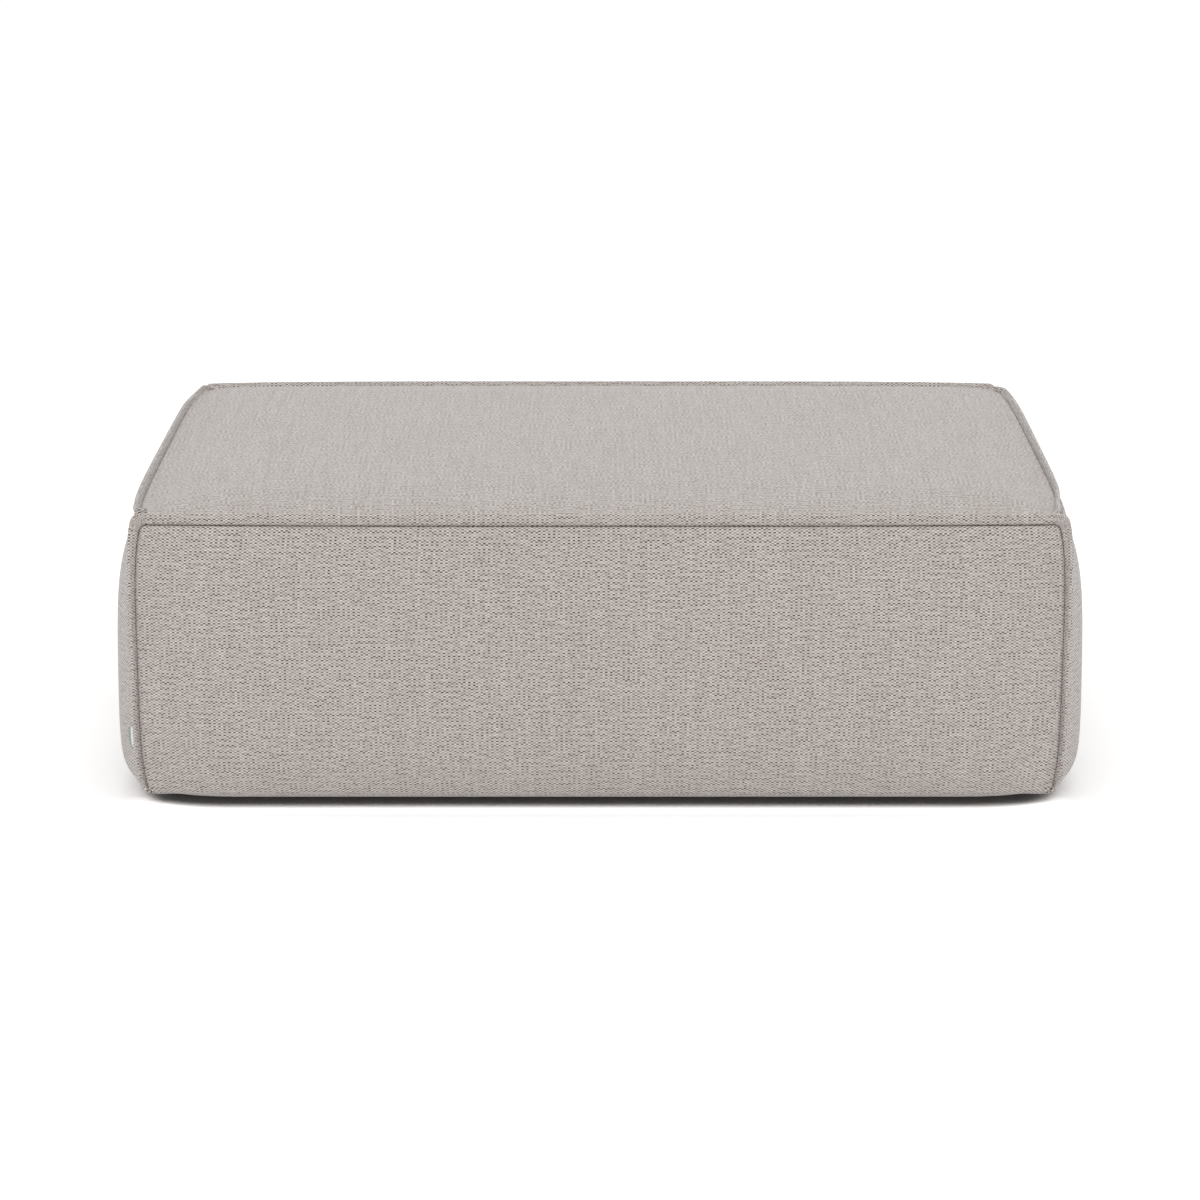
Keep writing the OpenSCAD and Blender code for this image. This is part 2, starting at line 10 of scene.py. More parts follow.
import bmesh
import bpy
import numpy as np
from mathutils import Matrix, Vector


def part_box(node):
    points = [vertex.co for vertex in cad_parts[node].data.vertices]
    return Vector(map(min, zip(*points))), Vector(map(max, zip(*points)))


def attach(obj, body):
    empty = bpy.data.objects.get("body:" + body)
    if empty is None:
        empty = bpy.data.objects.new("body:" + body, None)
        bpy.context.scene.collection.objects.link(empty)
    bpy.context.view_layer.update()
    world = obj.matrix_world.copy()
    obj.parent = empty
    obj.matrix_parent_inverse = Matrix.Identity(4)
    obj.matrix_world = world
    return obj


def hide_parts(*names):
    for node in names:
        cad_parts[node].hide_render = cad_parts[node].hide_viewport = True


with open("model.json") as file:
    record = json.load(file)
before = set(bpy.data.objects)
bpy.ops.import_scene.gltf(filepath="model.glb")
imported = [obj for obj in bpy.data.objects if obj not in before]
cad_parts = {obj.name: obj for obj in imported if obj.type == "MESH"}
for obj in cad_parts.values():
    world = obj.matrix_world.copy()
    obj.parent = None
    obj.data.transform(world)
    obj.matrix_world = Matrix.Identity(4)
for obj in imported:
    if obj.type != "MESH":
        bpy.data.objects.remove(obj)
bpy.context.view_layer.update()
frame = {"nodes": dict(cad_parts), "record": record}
log = logging.getLogger("ottoman")

MM = 0.001
# Least length that a vector is divided by
TINY = 1e-12
# Farther from a seam, in metres, than any point of the cover is
FAR = 1.0
# How far a stitch's direction strays, as a share of its length
WOBBLE = 0.08
BODY = "root"
WEAVE = "weave"


def linear(colour: str) -> tuple[float, float, float, float]:
    """Turn an sRGB hex colour into linear light.

    Args:
        colour: The colour as "#rrggbb".

    Returns:
        Red, green, blue and an alpha of 1.
    """
    parts = [int(colour[i:i + 2], 16) / 255 for i in (1, 3, 5)]
    red, green, blue = (p / 12.92 if p <= 0.04045 else ((p + 0.055) / 1.055) ** 2.4 for p in parts)
    return red, green, blue, 1.0


def add_node(tree: bpy.types.NodeTree, kind: str, inputs: Any = (), output: int = 0,
             **settings: Any) -> Optional[bpy.types.NodeSocket]:
    """Add a node with its settings, and set or link its inputs.

    Args:
        tree: The node tree that gets the node.
        kind: The node's type.
        inputs: Values or sockets, in order, or keyed by the input's name or place.
        output: Which output to hand back.
        **settings: Properties of the node.

    Returns:
        The chosen output socket, or None where the node has none.
    """
    node = tree.nodes.new(kind)
    for name, value in settings.items():
        setattr(node, name, value)
    for key, value in (inputs if isinstance(inputs, dict) else dict(enumerate(inputs))).items():
        if isinstance(value, bpy.types.NodeSocket):
            tree.links.new(value, node.inputs[key])
        else:
            node.inputs[key].default_value = value
    return node.outputs[output] if len(node.outputs) else None


def empty_tree(owner: Any) -> bpy.types.NodeTree:
    """Give a material or a world an empty node tree.

    Args:
        owner: The material or the world.

    Returns:
        Its tree.
    """
    owner.use_nodes = True
    owner.node_tree.nodes.clear()
    return owner.node_tree


@dataclass(frozen=True)
class Finish:
    """A finish with a colour and a roughness, which the others extend."""

    name: str
    colour: str
    roughness: float

    def surface(self, tree: bpy.types.NodeTree) -> dict:
        """Give the shader's inputs that this finish works out or adds.

        Args:
            tree: The material's node tree.

        Returns:
            Values or sockets, keyed by the shader's inputs.
        """
        raise NotImplementedError

    def material(self) -> bpy.types.Material:
        """Make the material, or find it where it was made before.

        Returns:
            The material.
        """
        found = bpy.data.materials.get(self.name)
        if found:
            return found
        made = bpy.data.materials.new(self.name)
        tree = empty_tree(made)
        inputs = {"Roughness": self.roughness, **self.surface(tree)}
        shader = add_node(tree, "ShaderNodeBsdfPrincipled", inputs)
        add_node(tree, "ShaderNodeOutputMaterial", {"Surface": shader})
        return made


@dataclass(frozen=True)
class WovenCloth(Finish):
    """Melange plain weave of polyester and viscose: pale warp over a beige to brown slub weft.

    Dyed yarns make a fine chequer of pale and brown dots, and the thick brown places in the weft
    make short lines. The fuzz of the spun yarn makes the cloth paler and cooler at a low angle. The
    real threads lie about 2.5 mm and 1.5 mm apart, so close that a picture blurs them, so they are
    drawn a fifth wider. The finish's own colour is the weft's pale yarn.
    """

    weft_dark: str = "#55361f"
    warp_dark: str = "#bab5b2"
    warp_pale: str = "#dfdbd9"
    fuzz: str = "#dfe9f1"
    fuzz_weight: float = 0.23
    fuzz_roughness: float = 0.45
    gloss: float = 0.2
    warp_pitch: float = 3.0 * MM
    weft_pitch: float = 1.8 * MM
    line_step: float = 3.0
    line_start: float = 0.37
    slub_length: float = 17 * MM
    slub_from: float = 0.34
    slub_to: float = 0.66
    slub_brown: float = 0.45
    weft_brown: float = 0.15
    weft_speck: float = 0.5
    streak_length: float = 110 * MM
    streak_from: float = 0.3
    streak_to: float = 0.7
    streak_pale: float = 0.3
    warp_speck: float = 0.7
    edge: float = 0.3
    relief: float = 0.22 * MM
    strength: float = 0.4

    def surface(self, tree: bpy.types.NodeTree) -> dict:
        """Draw the weave on the piece's own flat cloth coordinates.

        Args:
            tree: The material's node tree.

        Returns:
            Values or sockets, keyed by the shader's inputs.
        """
        place = add_node(tree, "ShaderNodeUVMap", uv_map=WEAVE)
        flat = add_node(tree, "ShaderNodeSeparateXYZ", [place]).node.outputs[:2]
        waves, cells = [], []
        for at, pitch in zip(flat, (self.warp_pitch, self.weft_pitch)):
            threads = add_node(tree, "ShaderNodeMath", [at, pitch], operation="DIVIDE")
            turn = add_node(tree, "ShaderNodeMath", [threads, math.pi], operation="MULTIPLY")
            waves.append(add_node(tree, "ShaderNodeMath", [turn], operation="SINE"))
            cells.append(add_node(tree, "ShaderNodeMath", [threads], operation="FLOOR"))
        over = add_node(tree, "ShaderNodeMath", waves, operation="MULTIPLY")
        end, pick = cells
        # Where one pick of a pair is thick and brown, the other one is thin and pale
        half = add_node(tree, "ShaderNodeMath", [pick, 2.0], operation="DIVIDE")
        pair = add_node(tree, "ShaderNodeMath", [half], operation="FLOOR")
        odd = add_node(tree, "ShaderNodeMath", [pick, 2.0], operation="FLOORED_MODULO")
        sign = add_node(tree, "ShaderNodeMath", [odd, -2.0, 1.0], operation="MULTIPLY_ADD")
        slub = self._unevenness(tree, pair, flat[0], self.slub_length, True)
        thick = add_node(tree, "ShaderNodeMapRange",
                         [slub, self.slub_from, self.slub_to, -self.slub_brown, self.slub_brown],
                         interpolation_type="SMOOTHSTEP")
        streak = self._unevenness(tree, end, flat[1], self.streak_length, False)
        streaked = add_node(tree, "ShaderNodeMapRange",
                            [streak, self.streak_from, self.streak_to, 0.0, self.streak_pale])
        cell = add_node(tree, "ShaderNodeCombineXYZ", cells)
        speck = add_node(tree, "ShaderNodeTexWhiteNoise", {"Vector": cell}, noise_dimensions="2D")
        plain = add_node(tree, "ShaderNodeMath", [speck, self.weft_speck, self.weft_brown],
                         operation="MULTIPLY_ADD")
        brown = add_node(tree, "ShaderNodeMath", [thick, sign, plain], operation="MULTIPLY_ADD")
        pale = add_node(tree, "ShaderNodeMath", [speck, self.warp_speck, streaked], operation="MULTIPLY_ADD")
        weft, warp = (add_node(tree, "ShaderNodeMix", {0: share, 6: linear(one), 7: linear(other)},
                               output=2, data_type="RGBA")
                      for share, one, other in ((brown, self.colour, self.weft_dark),
                                                (pale, self.warp_dark, self.warp_pale)))
        up = add_node(tree, "ShaderNodeMapRange", [over, -self.edge, self.edge, 0.0, 1.0])
        yarn = add_node(tree, "ShaderNodeMix", {0: up, 6: weft, 7: warp}, output=2, data_type="RGBA")
        height = add_node(tree, "ShaderNodeMath", [over], operation="ABSOLUTE")
        bump = add_node(tree, "ShaderNodeBump",
                        {"Strength": self.strength, "Distance": self.relief, "Height": height})
        return {"Base Color": yarn, "Normal": bump, "Specular IOR Level": self.gloss,
                "Sheen Weight": self.fuzz_weight, "Sheen Roughness": self.fuzz_roughness,
                "Sheen Tint": linear(self.fuzz)}

    def _unevenness(self, tree: bpy.types.NodeTree, number: bpy.types.NodeSocket,
                    along: bpy.types.NodeSocket, length: float, weft: bool) -> bpy.types.NodeSocket:
        """Give noise along each thread, read on a line of its own, cells away from its neighbour's.

        Args:
            tree: The material's node tree.
            number: The thread's number.
            along: How far along the thread a point lies.
            length: About how long the thread's thick and thin places are.
            weft: Whether the thread runs across the cloth.

        Returns:
            The noise, from 0 to 1.
        """
        line = add_node(tree, "ShaderNodeMath", [number, self.line_step, self.line_start],
                        operation="MULTIPLY_ADD")
        share = add_node(tree, "ShaderNodeMath", [along, length], operation="DIVIDE")
        at = add_node(tree, "ShaderNodeCombineXYZ", [share, line] if weft else [line, share])
        return add_node(tree, "ShaderNodeTexNoise", {"Vector": at, "Scale": 1.0, "Detail": 1.0},
                        noise_dimensions="2D")


@dataclass(frozen=True)
class WovenTag(Finish):
    """Satin-woven polyester label, blank: a white face with grey-green selvedges and a slow ripple."""

    border: str = "#98a09c"
    face_middle: float = 0.3
    face_half: float = 0.08
    border_soft: float = 0.04
    ripples: float = 260.0
    relief: float = 0.05 * MM
    strength: float = 0.3
    sheen: float = 0.1

    def surface(self, tree: bpy.types.NodeTree) -> dict:
        """Draw the two selvedges across the tag's width, and its ripple.

        Args:
            tree: The material's node tree.

        Returns:
            Values or sockets, keyed by the shader's inputs.
        """
        place = add_node(tree, "ShaderNodeUVMap", uv_map=WEAVE)
        flat = add_node(tree, "ShaderNodeSeparateXYZ", [place]).node.outputs
        centred = add_node(tree, "ShaderNodeMath", [flat[0], self.face_middle], operation="SUBTRACT")
        off_middle = add_node(tree, "ShaderNodeMath", [centred], operation="ABSOLUTE")
        edge = add_node(tree, "ShaderNodeMapRange",
                        [off_middle, self.face_half, self.face_half + self.border_soft, 0.0, 1.0])
        tone = add_node(tree, "ShaderNodeMix", {0: edge, 6: linear(self.colour), 7: linear(self.border)},
                        output=2, data_type="RGBA")
        turn = add_node(tree, "ShaderNodeMath", [flat[1], self.ripples], operation="MULTIPLY")
        wave = add_node(tree, "ShaderNodeMath", [turn], operation="SINE")
        bump = add_node(tree, "ShaderNodeBump",
                        {"Strength": self.strength, "Distance": self.relief, "Height": wave})
        return {"Base Color": tone, "Normal": bump, "Sheen Weight": self.sheen}


@dataclass(frozen=True)
class TwoTone(Finish):
    """A finish whose second tone and relief follow one pattern of a real size."""

    other: str
    relief: float
    strength: float = 0.5
    low: float = 0.35
    high: float = 0.65
    metallic: float = 0.0

    def surface(self, tree: bpy.types.NodeTree) -> dict:
        """Mix the two tones and raise the surface by the pattern.

        Args:
            tree: The material's node tree.

        Returns:
            Values or sockets, keyed by the shader's inputs.
        """
        height = self.pattern(tree)
        share = add_node(tree, "ShaderNodeMapRange", [height, self.low, self.high, 0.0, 1.0])
        tone = add_node(tree, "ShaderNodeMix", {0: share, 6: linear(self.colour), 7: linear(self.other)},
                        output=2, data_type="RGBA")
        bump = add_node(tree, "ShaderNodeBump",
                        {"Strength": self.strength, "Distance": self.relief, "Height": height})
        return {"Base Color": tone, "Normal": bump, "Metallic": self.metallic}

    def pattern(self, tree: bpy.types.NodeTree) -> bpy.types.NodeSocket:
        """Draw the pattern on the piece's own coordinates.

        Args:
            tree: The material's node tree.

        Returns:
            The pattern's height.
        """
        raise NotImplementedError


@dataclass(frozen=True)
class SpunThread(TwoTone):
    """Twisted polyester sewing thread: a dull gleam and a fine oblique twist."""

    strength: float = 0.4
    low: float = 0.0
    high: float = 1.0
    twist: float = 0.8 * MM
    lie: tuple = (0.5, 0.6, 0.8)
    # A wave texture of scale 1 has about three bands in a metre
    bands: float = 3.0

    def pattern(self, tree: bpy.types.NodeTree) -> bpy.types.NodeSocket:
        """Draw the twist as oblique lines.

        Args:
            tree: The material's node tree.

        Returns:
            The pattern's height.
        """
        place = add_node(tree, "ShaderNodeTexCoord", output=3)
        turned = add_node(tree, "ShaderNodeMapping", {"Vector": place, "Rotation": self.lie})
        scale = 1 / self.twist / self.bands
        return add_node(tree, "ShaderNodeTexWave", {"Vector": turned, "Scale": scale}, output=1)


class Axis(Enum):
    """The way a board's grain runs."""

    X = 0
    Y = 1
    Z = 2


@dataclass(frozen=True)
class SawnPine(TwoTone):
    """Planed softwood: pale yellow with darker growth rings and fine pores along the grain."""

    strength: float = 0.2
    along: Axis = Axis.X
    ring: float = 4 * MM
    stretch: float = 0.04
    scale: float = 0.7
    detail: float = 3.0

    def pattern(self, tree: bpy.types.NodeTree) -> bpy.types.NodeSocket:
        """Stretch the rings along the grain.

        Args:
            tree: The material's node tree.

        Returns:
            The pattern's height.
        """
        rings = [1 / self.ring] * 3
        rings[self.along.value] = self.stretch / self.ring
        place = add_node(tree, "ShaderNodeTexCoord", output=3)
        stretched = add_node(tree, "ShaderNodeMapping", {"Vector": place, "Scale": rings})
        return add_node(tree, "ShaderNodeTexNoise",
                        {"Vector": stretched, "Scale": self.scale, "Detail": self.detail})


@dataclass(frozen=True)
class Mottled(TwoTone):
    """A finish that varies with a noise of a real grain size."""

    grain: float = 2 * MM
    detail: float = 4.0

    def pattern(self, tree: bpy.types.NodeTree) -> bpy.types.NodeSocket:
        """Draw the grain."""
        place = add_node(tree, "ShaderNodeTexCoord", output=3)
        return add_node(tree, "ShaderNodeTexNoise",
                        {"Vector": place, "Scale": 1 / self.grain, "Detail": self.detail})


@dataclass(frozen=True)
class ElasticWebbing(TwoTone):
    """Woven rubber-cored webbing: dark, with close ribs across and lines along each strap."""

    strength: float = 0.6
    low: float = -2.0
    high: float = 2.0
    rib: float = 2.5 * MM

    def pattern(self, tree: bpy.types.NodeTree) -> bpy.types.NodeSocket:
        """Cross two fine waves, as the ribs and the rubber cores do.

        Args:
            tree: The material's node tree.

        Returns:
            The pattern's height.
        """
        place = add_node(tree, "ShaderNodeTexCoord", output=3)
        waves = []
        for at in add_node(tree, "ShaderNodeSeparateXYZ", [place]).node.outputs[:2]:
            turn = add_node(tree, "ShaderNodeMath", [at, 2 * math.pi / self.rib], operation="MULTIPLY")
            waves.append(add_node(tree, "ShaderNodeMath", [turn], operation="SINE"))
        return add_node(tree, "ShaderNodeMath", waves, operation="ADD")


CLOTH = WovenCloth("melange_plain_weave", "#ada49b", 0.92)
# The stitches' dark brown is partly the thread's own colour and partly painted shade, which deepens the
# grooves at the ridges' foot where the stitches lie.
THREAD_AND_GROOVE_SHADE = SpunThread("twisted_polyester_thread", "#2f251f", 0.6, other="#8d7d74", relief=0.1 * MM)
TAG = WovenTag("satin_woven_label", "#f4f6f4", 0.6)
# Thin tempered fibreboard: brown, smooth and faintly speckled with fibre bundles
HARDBOARD = Mottled("tempered_hardboard", "#8a6848", 0.6, other="#73543a", grain=1.5 * MM, relief=0.05 * MM)
# Flexible polyurethane foam, cut from a block: a cream sponge of open cells
FOAM = Mottled("cut_polyurethane_foam", "#eee2b4", 0.95, other="#d9c98f", grain=1.2 * MM, relief=0.4 * MM)
# Carded polyester wadding: a white mat of loose crimped fibres
WADDING = Mottled("carded_polyester_wadding", "#f3f2ee", 1.0, other="#dcdad4", grain=6 * MM, relief=1.0 * MM)
# Spunbond polypropylene: a matt black felt whose bonded points show as faint lighter specks
DUST_CLOTH = Mottled("spunbond_dust_cloth", "#1e1e20", 0.9, other="#2d2d30", grain=0.9 * MM, relief=0.1 * MM)
# Zinc-plated wire and screws: bright, slightly blue, with a fine mottle in the plating
ZINC = Mottled("zinc_plated_steel", "#c3c7cb", 0.35, other="#a8adb3", grain=0.8 * MM, relief=0.02 * MM,
               metallic=1.0)
# Injection-moulded polypropylene with a fine spark-eroded texture
GLIDE = Mottled("moulded_polypropylene", "#1c1c1d", 0.5, other="#262628", grain=0.5 * MM, relief=0.03 * MM)


def pine(node: str) -> Finish:
    """Give the pine finish whose grain runs along a timber node's longest side.

    Args:
        node: The timber node's name.

    Returns:
        The finish.
    """
    low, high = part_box(node)
    sides = [high[i] - low[i] for i in range(3)]
    along = Axis(sides.index(max(sides)))
    return SawnPine(f"sawn_pine_along_{along.name.lower()}", "#d9b98a", 0.7, other="#b98a55",
                    relief=0.2 * MM, along=along)


NODE_FINISHES = {
    "board": HARDBOARD,
    "webbing": ElasticWebbing("elastic_webbing", "#3c3936", 0.85, other="#6a6560", relief=0.3 * MM),
    "steel": ZINC,
    "glide_plastic": GLIDE,
}


def signed_volume(points: np.ndarray, faces: list[tuple]) -> float:
    """Work out a closed mesh's volume, below zero where its faces point inwards.

    Args:
        points: The vertices.
        faces: The vertex numbers of each face.

    Returns:
        The volume.
    """
    total = 0.0
    for size in {len(f) for f in faces}:
        ring = np.array([f for f in faces if len(f) == size])
        for k in range(1, size - 1):
            a, b, c = points[ring[:, 0]], points[ring[:, k]], points[ring[:, k + 1]]
            total += float(np.einsum("ij,ij->i", a, np.cross(b, c)).sum()) / 6
    return total


def add_object(name: str, data: Any) -> bpy.types.Object:
    """Make an object and link it to the scene.

    Args:
        name: The object's name.
        data: Its mesh, light or camera.

    Returns:
        The object.
    """
    made = bpy.data.objects.new(name, data)
    bpy.context.scene.collection.objects.link(made)
    return made


def make_mesh(name: str, points: np.ndarray, faces: list[tuple]) -> bpy.types.Mesh:
    """Make a mesh from points and faces.

    Args:
        name: The mesh's name.
        points: The vertices.
        faces: The vertex numbers of each face.

    Returns:
        The mesh.
    """
    mesh = bpy.data.meshes.new(name)
    mesh.from_pydata(points.tolist(), [], [tuple(int(i) for i in f) for f in faces])
    return mesh


def make_piece(name: str, points: np.ndarray, faces: list[tuple], finish: Finish,
               cloth_at: Optional[np.ndarray] = None) -> bpy.types.Object:
    """Make a closed mesh with its faces outwards and its finish.

    Args:
        name: The piece's name.
        points: The vertices, in metres, in the shared frame.
        faces: The vertex numbers of each face, all turned the same way.
        finish: The finish of the whole piece.
        cloth_at: Flat cloth coordinates of each vertex, in metres, where the piece is woven.

    Returns:
        The object, which rides on the body.
    """
    if signed_volume(points, faces) < 0:
        faces = [f[::-1] for f in faces]
    mesh = make_mesh(name, points, faces)
    mesh.shade_smooth()
    if cloth_at is not None:
        corners = np.zeros(len(mesh.loops), np.int32)
        mesh.loops.foreach_get("vertex_index", corners)
        layer = mesh.uv_layers.new(name=WEAVE)
        layer.data.foreach_set("uv", cloth_at[corners].astype(np.float32).ravel())
    mesh.materials.append(finish.material())
    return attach(add_object(name, mesh), BODY)


def declare(piece: bpy.types.Object, node: str) -> None:
    """Hide the CAD node that a piece stands for, and log how many faces the piece has.

    Args:
        piece: The piece.
        node: The CAD node that it replaces.
    """
    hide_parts(node)
    log.info("%s: %d faces", piece.name, len(piece.data.polygons))


def grid_faces(rows: int, cols: int, first: int = 0) -> list[tuple]:
    """Number the quads of a grid of points.

    Args:
        rows: Rows of points.
        cols: Points in a row.
        first: Number of the grid's first point.

    Returns:
        The quads.
    """
    number = np.arange(rows * cols).reshape(rows, cols) + first
    corners = (number[:-1, :-1], number[1:, :-1], number[1:, 1:], number[:-1, 1:])
    return list(zip(*(c.ravel() for c in corners)))


def closed_between(outer: np.ndarray, inner: np.ndarray) -> tuple[np.ndarray, list[tuple]]:
    """Close the space between two grids of the same size.

    Args:
        outer: The outer grid, rows by columns by 3.
        inner: The inner grid.

    Returns:
        The vertices and the faces.
    """
    rows, cols = outer.shape[:2]
    count = rows * cols
    number = np.arange(count).reshape(rows, cols)
    rim = np.concatenate([number[0, :-1], number[:-1, -1], number[-1, :0:-1], number[:0:-1, 0]])
    after = np.roll(rim, -1)
    faces = grid_faces(rows, cols)
    faces += [f[::-1] for f in grid_faces(rows, cols, count)]
    faces += list(zip(rim, after, after + count, rim + count))
    points = np.concatenate([outer.reshape(-1, 3), inner.reshape(-1, 3)])
    return points, faces


def unit(vectors: np.ndarray) -> np.ndarray:
    """Scale vectors to a length of 1."""
    return vectors / np.maximum(np.linalg.norm(vectors, axis=-1, keepdims=True), TINY)


def mix(a: Any, b: Any, share: Any) -> Any:
    """Go the given share of the way from a to b."""
    return a + (b - a) * share


def ease(share: Any) -> Any:
    """Hold a share between 0 and 1, and level it out at both ends."""
    held = np.clip(share, 0, 1)
    return held * held * (3 - 2 * held)


def normals_of(grid: np.ndarray) -> np.ndarray:
    """Find the normals of a grid of points, outwards where its quads face outwards.

    Args:
        grid: Rows by columns by 3.

    Returns:
        The unit normals, in the same shape.
    """
    down = np.gradient(grid, axis=0)
    across = np.gradient(grid, axis=1)
    return unit(np.cross(down, across))


def lengths_along(line: np.ndarray) -> np.ndarray:
    """Measure how far along a line of points each one lies."""
    steps = np.linalg.norm(np.diff(line, axis=0), axis=1)
    return np.concatenate([[0.0], np.cumsum(steps)])


def spline_weights(places: np.ndarray, knots: np.ndarray) -> np.ndarray:
    """Weights that carry values at coarse knots to finer places along a smooth curve.

    Args:
        places: Where the values are wanted, within the knots.
        knots: Where they are known, in rising order.

    Returns:
        One row of weights for each place.
    """
    at = np.interp(places, knots, np.arange(len(knots)))
    base = np.clip(np.floor(at).astype(int), 0, len(knots) - 2)
    t = at - base
    shares = (
        -0.5 * t + t ** 2 - 0.5 * t ** 3,
        1 - 2.5 * t ** 2 + 1.5 * t ** 3,
        0.5 * t + 2 * t ** 2 - 1.5 * t ** 3,
        -0.5 * t ** 2 + 0.5 * t ** 3,
    )
    weights = np.zeros((len(places), len(knots)))
    for shift, share in zip((-1, 0, 1, 2), shares):
        near = np.clip(base + shift, 0, len(knots) - 1)
        np.add.at(weights, (np.arange(len(places)), near), share)
    return weights


class Side(Enum):
    """A side of the ottoman, with the turn that brings a front-facing panel there."""

    FRONT = ((1, 0), (0, 1))
    BACK = ((1, 0), (0, -1))
    LEFT = ((0, 1), (-1, 0))
    RIGHT = ((0, -1), (-1, 0))

    @property
    def title(self) -> str:
        """The side's name in lower case."""
        return self.name.lower()

    @property
    def long(self) -> bool:
        """Whether this is one of the two long sides."""
        return self in (Side.FRONT, Side.BACK)

    def turn(self, points: np.ndarray) -> np.ndarray:
        """Bring points or vectors of a front-facing panel to this side."""
        plan = points[..., :2] @ np.array(self.value, float).T
        return np.concatenate([plan, points[..., 2:]], -1)

    def turn_back(self, points: np.ndarray) -> np.ndarray:
        """Bring points or vectors of this side back to a front-facing panel."""
        plan = points[..., :2] @ np.array(self.value, float)
        return np.concatenate([plan, points[..., 2:]], -1)


@dataclass(frozen=True)
class Form:
    """Driving sizes of the cover, in metres, and the rules of its seams and surfaces."""

    seam_w: float = 1105.6 * MM
    seam_d: float = 760 * MM
    seam_h: float = 351.3 * MM
    long_bow: float = 11 * MM
    short_bow: float = 11.2 * MM
    corner_bow: float = 8.6 * MM
    corner_draw: float = 2.1 * MM
    seam_rise: float = 1 * MM
    bow_power: float = 5.0
    top_crown: float = 22 * MM
    top_dome: float = 4.4 * MM
    front_bulge: float = 16 * MM
    side_bulge: float = 24.4 * MM
    front_base: float = 22.6 * MM
    side_base: float = 15.9 * MM
    swell_reach: float = 110 * MM
    swell_power: float = 3.0
    upper_reach: float = 222 * MM
    upper_power: float = 4.0
    lower_reach: float = 50 * MM
    lower_power: float = 3.0
    floor_gap: float = 12 * MM
    turn_radius: float = 12 * MM
    turn_under: float = 31 * MM
    foot_round: float = 12 * MM
    foot_reach: float = 45 * MM
    foot_power: float = 2.0

    @property
    def half_w(self) -> float:
        """Half the width between the corner seams."""
        return self.seam_w / 2

    @property
    def half_d(self) -> float:
        """Half the depth between the corner seams."""
        return self.seam_d / 2

    @property
    def roll_z(self) -> float:
        """Height at which the sides start to turn under."""
        return self.floor_gap + self.turn_radius

    @property
    def wall_h(self) -> float:
        """Height of the upright part of the sides at the corners."""
        return self.seam_h - self.roll_z

    def halves(self, side: Side) -> tuple[float, float]:
        """Give a side's half width and its distance from the middle."""
        return (self.half_w, self.half_d) if side.long else (self.half_d, self.half_w)

    def seam_bow(self, side: Side) -> float:
        """Give how far the middle of a side's top seam stands out."""
        return self.long_bow if side.long else self.short_bow

    def bulges(self, side: Side) -> tuple[float, float]:
        """Give a side's bulge, and how far its foot stands out besides."""
        return (self.front_bulge, self.front_base) if side.long else (self.side_bulge, self.side_base)

    def bow(self, t: np.ndarray) -> np.ndarray:
        """Bow of a seam: 1 in the middle, nothing at its ends."""
        return 1 - np.abs(t) ** self.bow_power

    def swell(self, distance: np.ndarray, reach: Optional[float] = None,
              power: Optional[float] = None) -> np.ndarray:
        """Share of the full bulge at a distance from a seam."""
        left = 1 - np.clip(distance / (reach or self.swell_reach), 0, 1)
        return 1 - left ** (power or self.swell_power)

    def level(self, z: np.ndarray) -> np.ndarray:
        """Height as a share of the way from the underside to the top seam."""
        return (z - self.floor_gap) / (self.seam_h - self.floor_gap)

    def corner_out(self, z: np.ndarray) -> np.ndarray:
        """How far a corner seam bows outward at a height."""
        return self.corner_bow * self.bow(2 * self.level(z) - 1) - self.corner_draw * (1 - self.level(z))

    def foot_in(self, z: np.ndarray) -> np.ndarray:
        """How far the rounded foot of a corner seam is drawn inward at a height."""
        share = np.clip(1 - (z - self.floor_gap) / self.foot_round, 0, 1)
        return self.foot_round * (1 - np.sqrt(1 - share ** 2))

    def down(self, rows: "Rows") -> np.ndarray:
        """How far down a corner seam each row lies."""
        return rows.share * self.wall_h + rows.turn * self.turn_radius + rows.under * self.turn_under

    def seam_z(self, u: np.ndarray) -> np.ndarray:
        """Height of the top seam at a place from -1 to 1 along a side."""
        return self.seam_h + self.seam_rise * self.bow(u)

    def corner_seam(self, z: np.ndarray, back: np.ndarray) -> np.ndarray:
        """Points of the front left corner seam, some of them turned back under the frame."""
        out = self.corner_out(z) - back - self.foot_in(z)
        return np.stack([-(self.half_w + out), -(self.half_d + out), z + 0 * out], -1)

    def top_seam(self, side: Side, u: np.ndarray) -> np.ndarray:
        """Points of a top seam, turned to face the front."""
        half, out = self.halves(side)
        return np.stack([u * half, -(out + self.seam_bow(side) * self.bow(u)), self.seam_z(u)], -1)


@dataclass(frozen=True)
class Rows:
    """Rows of a side panel: first down its upright part, then round the turn, then under."""

    share: np.ndarray
    turn: np.ndarray
    under: np.ndarray

    @classmethod
    def down(cls, walls: np.ndarray, turns: int, unders: int) -> "Rows":
        """Make the rows.

        Args:
            walls: Shares from 0 to 1 of the way down the upright part.
            turns: Rows round the turn.
            unders: Rows under the frame.

        Returns:
            The rows.
        """
        angles = np.pi / 2 * np.arange(1, turns + 1) / turns
        flat = np.arange(1, unders + 1) / unders
        share = np.concatenate([walls, np.ones(turns + unders)])
        turn = np.concatenate([0 * walls, angles, np.full(unders, np.pi / 2)])
        return cls(share, turn, np.concatenate([np.zeros(len(walls) + turns), flat]))


@dataclass
class Panel:
    """A panel's surface as a grid, with what the seams need to know about each point."""

    points: np.ndarray
    to_side: np.ndarray
    to_top: np.ndarray


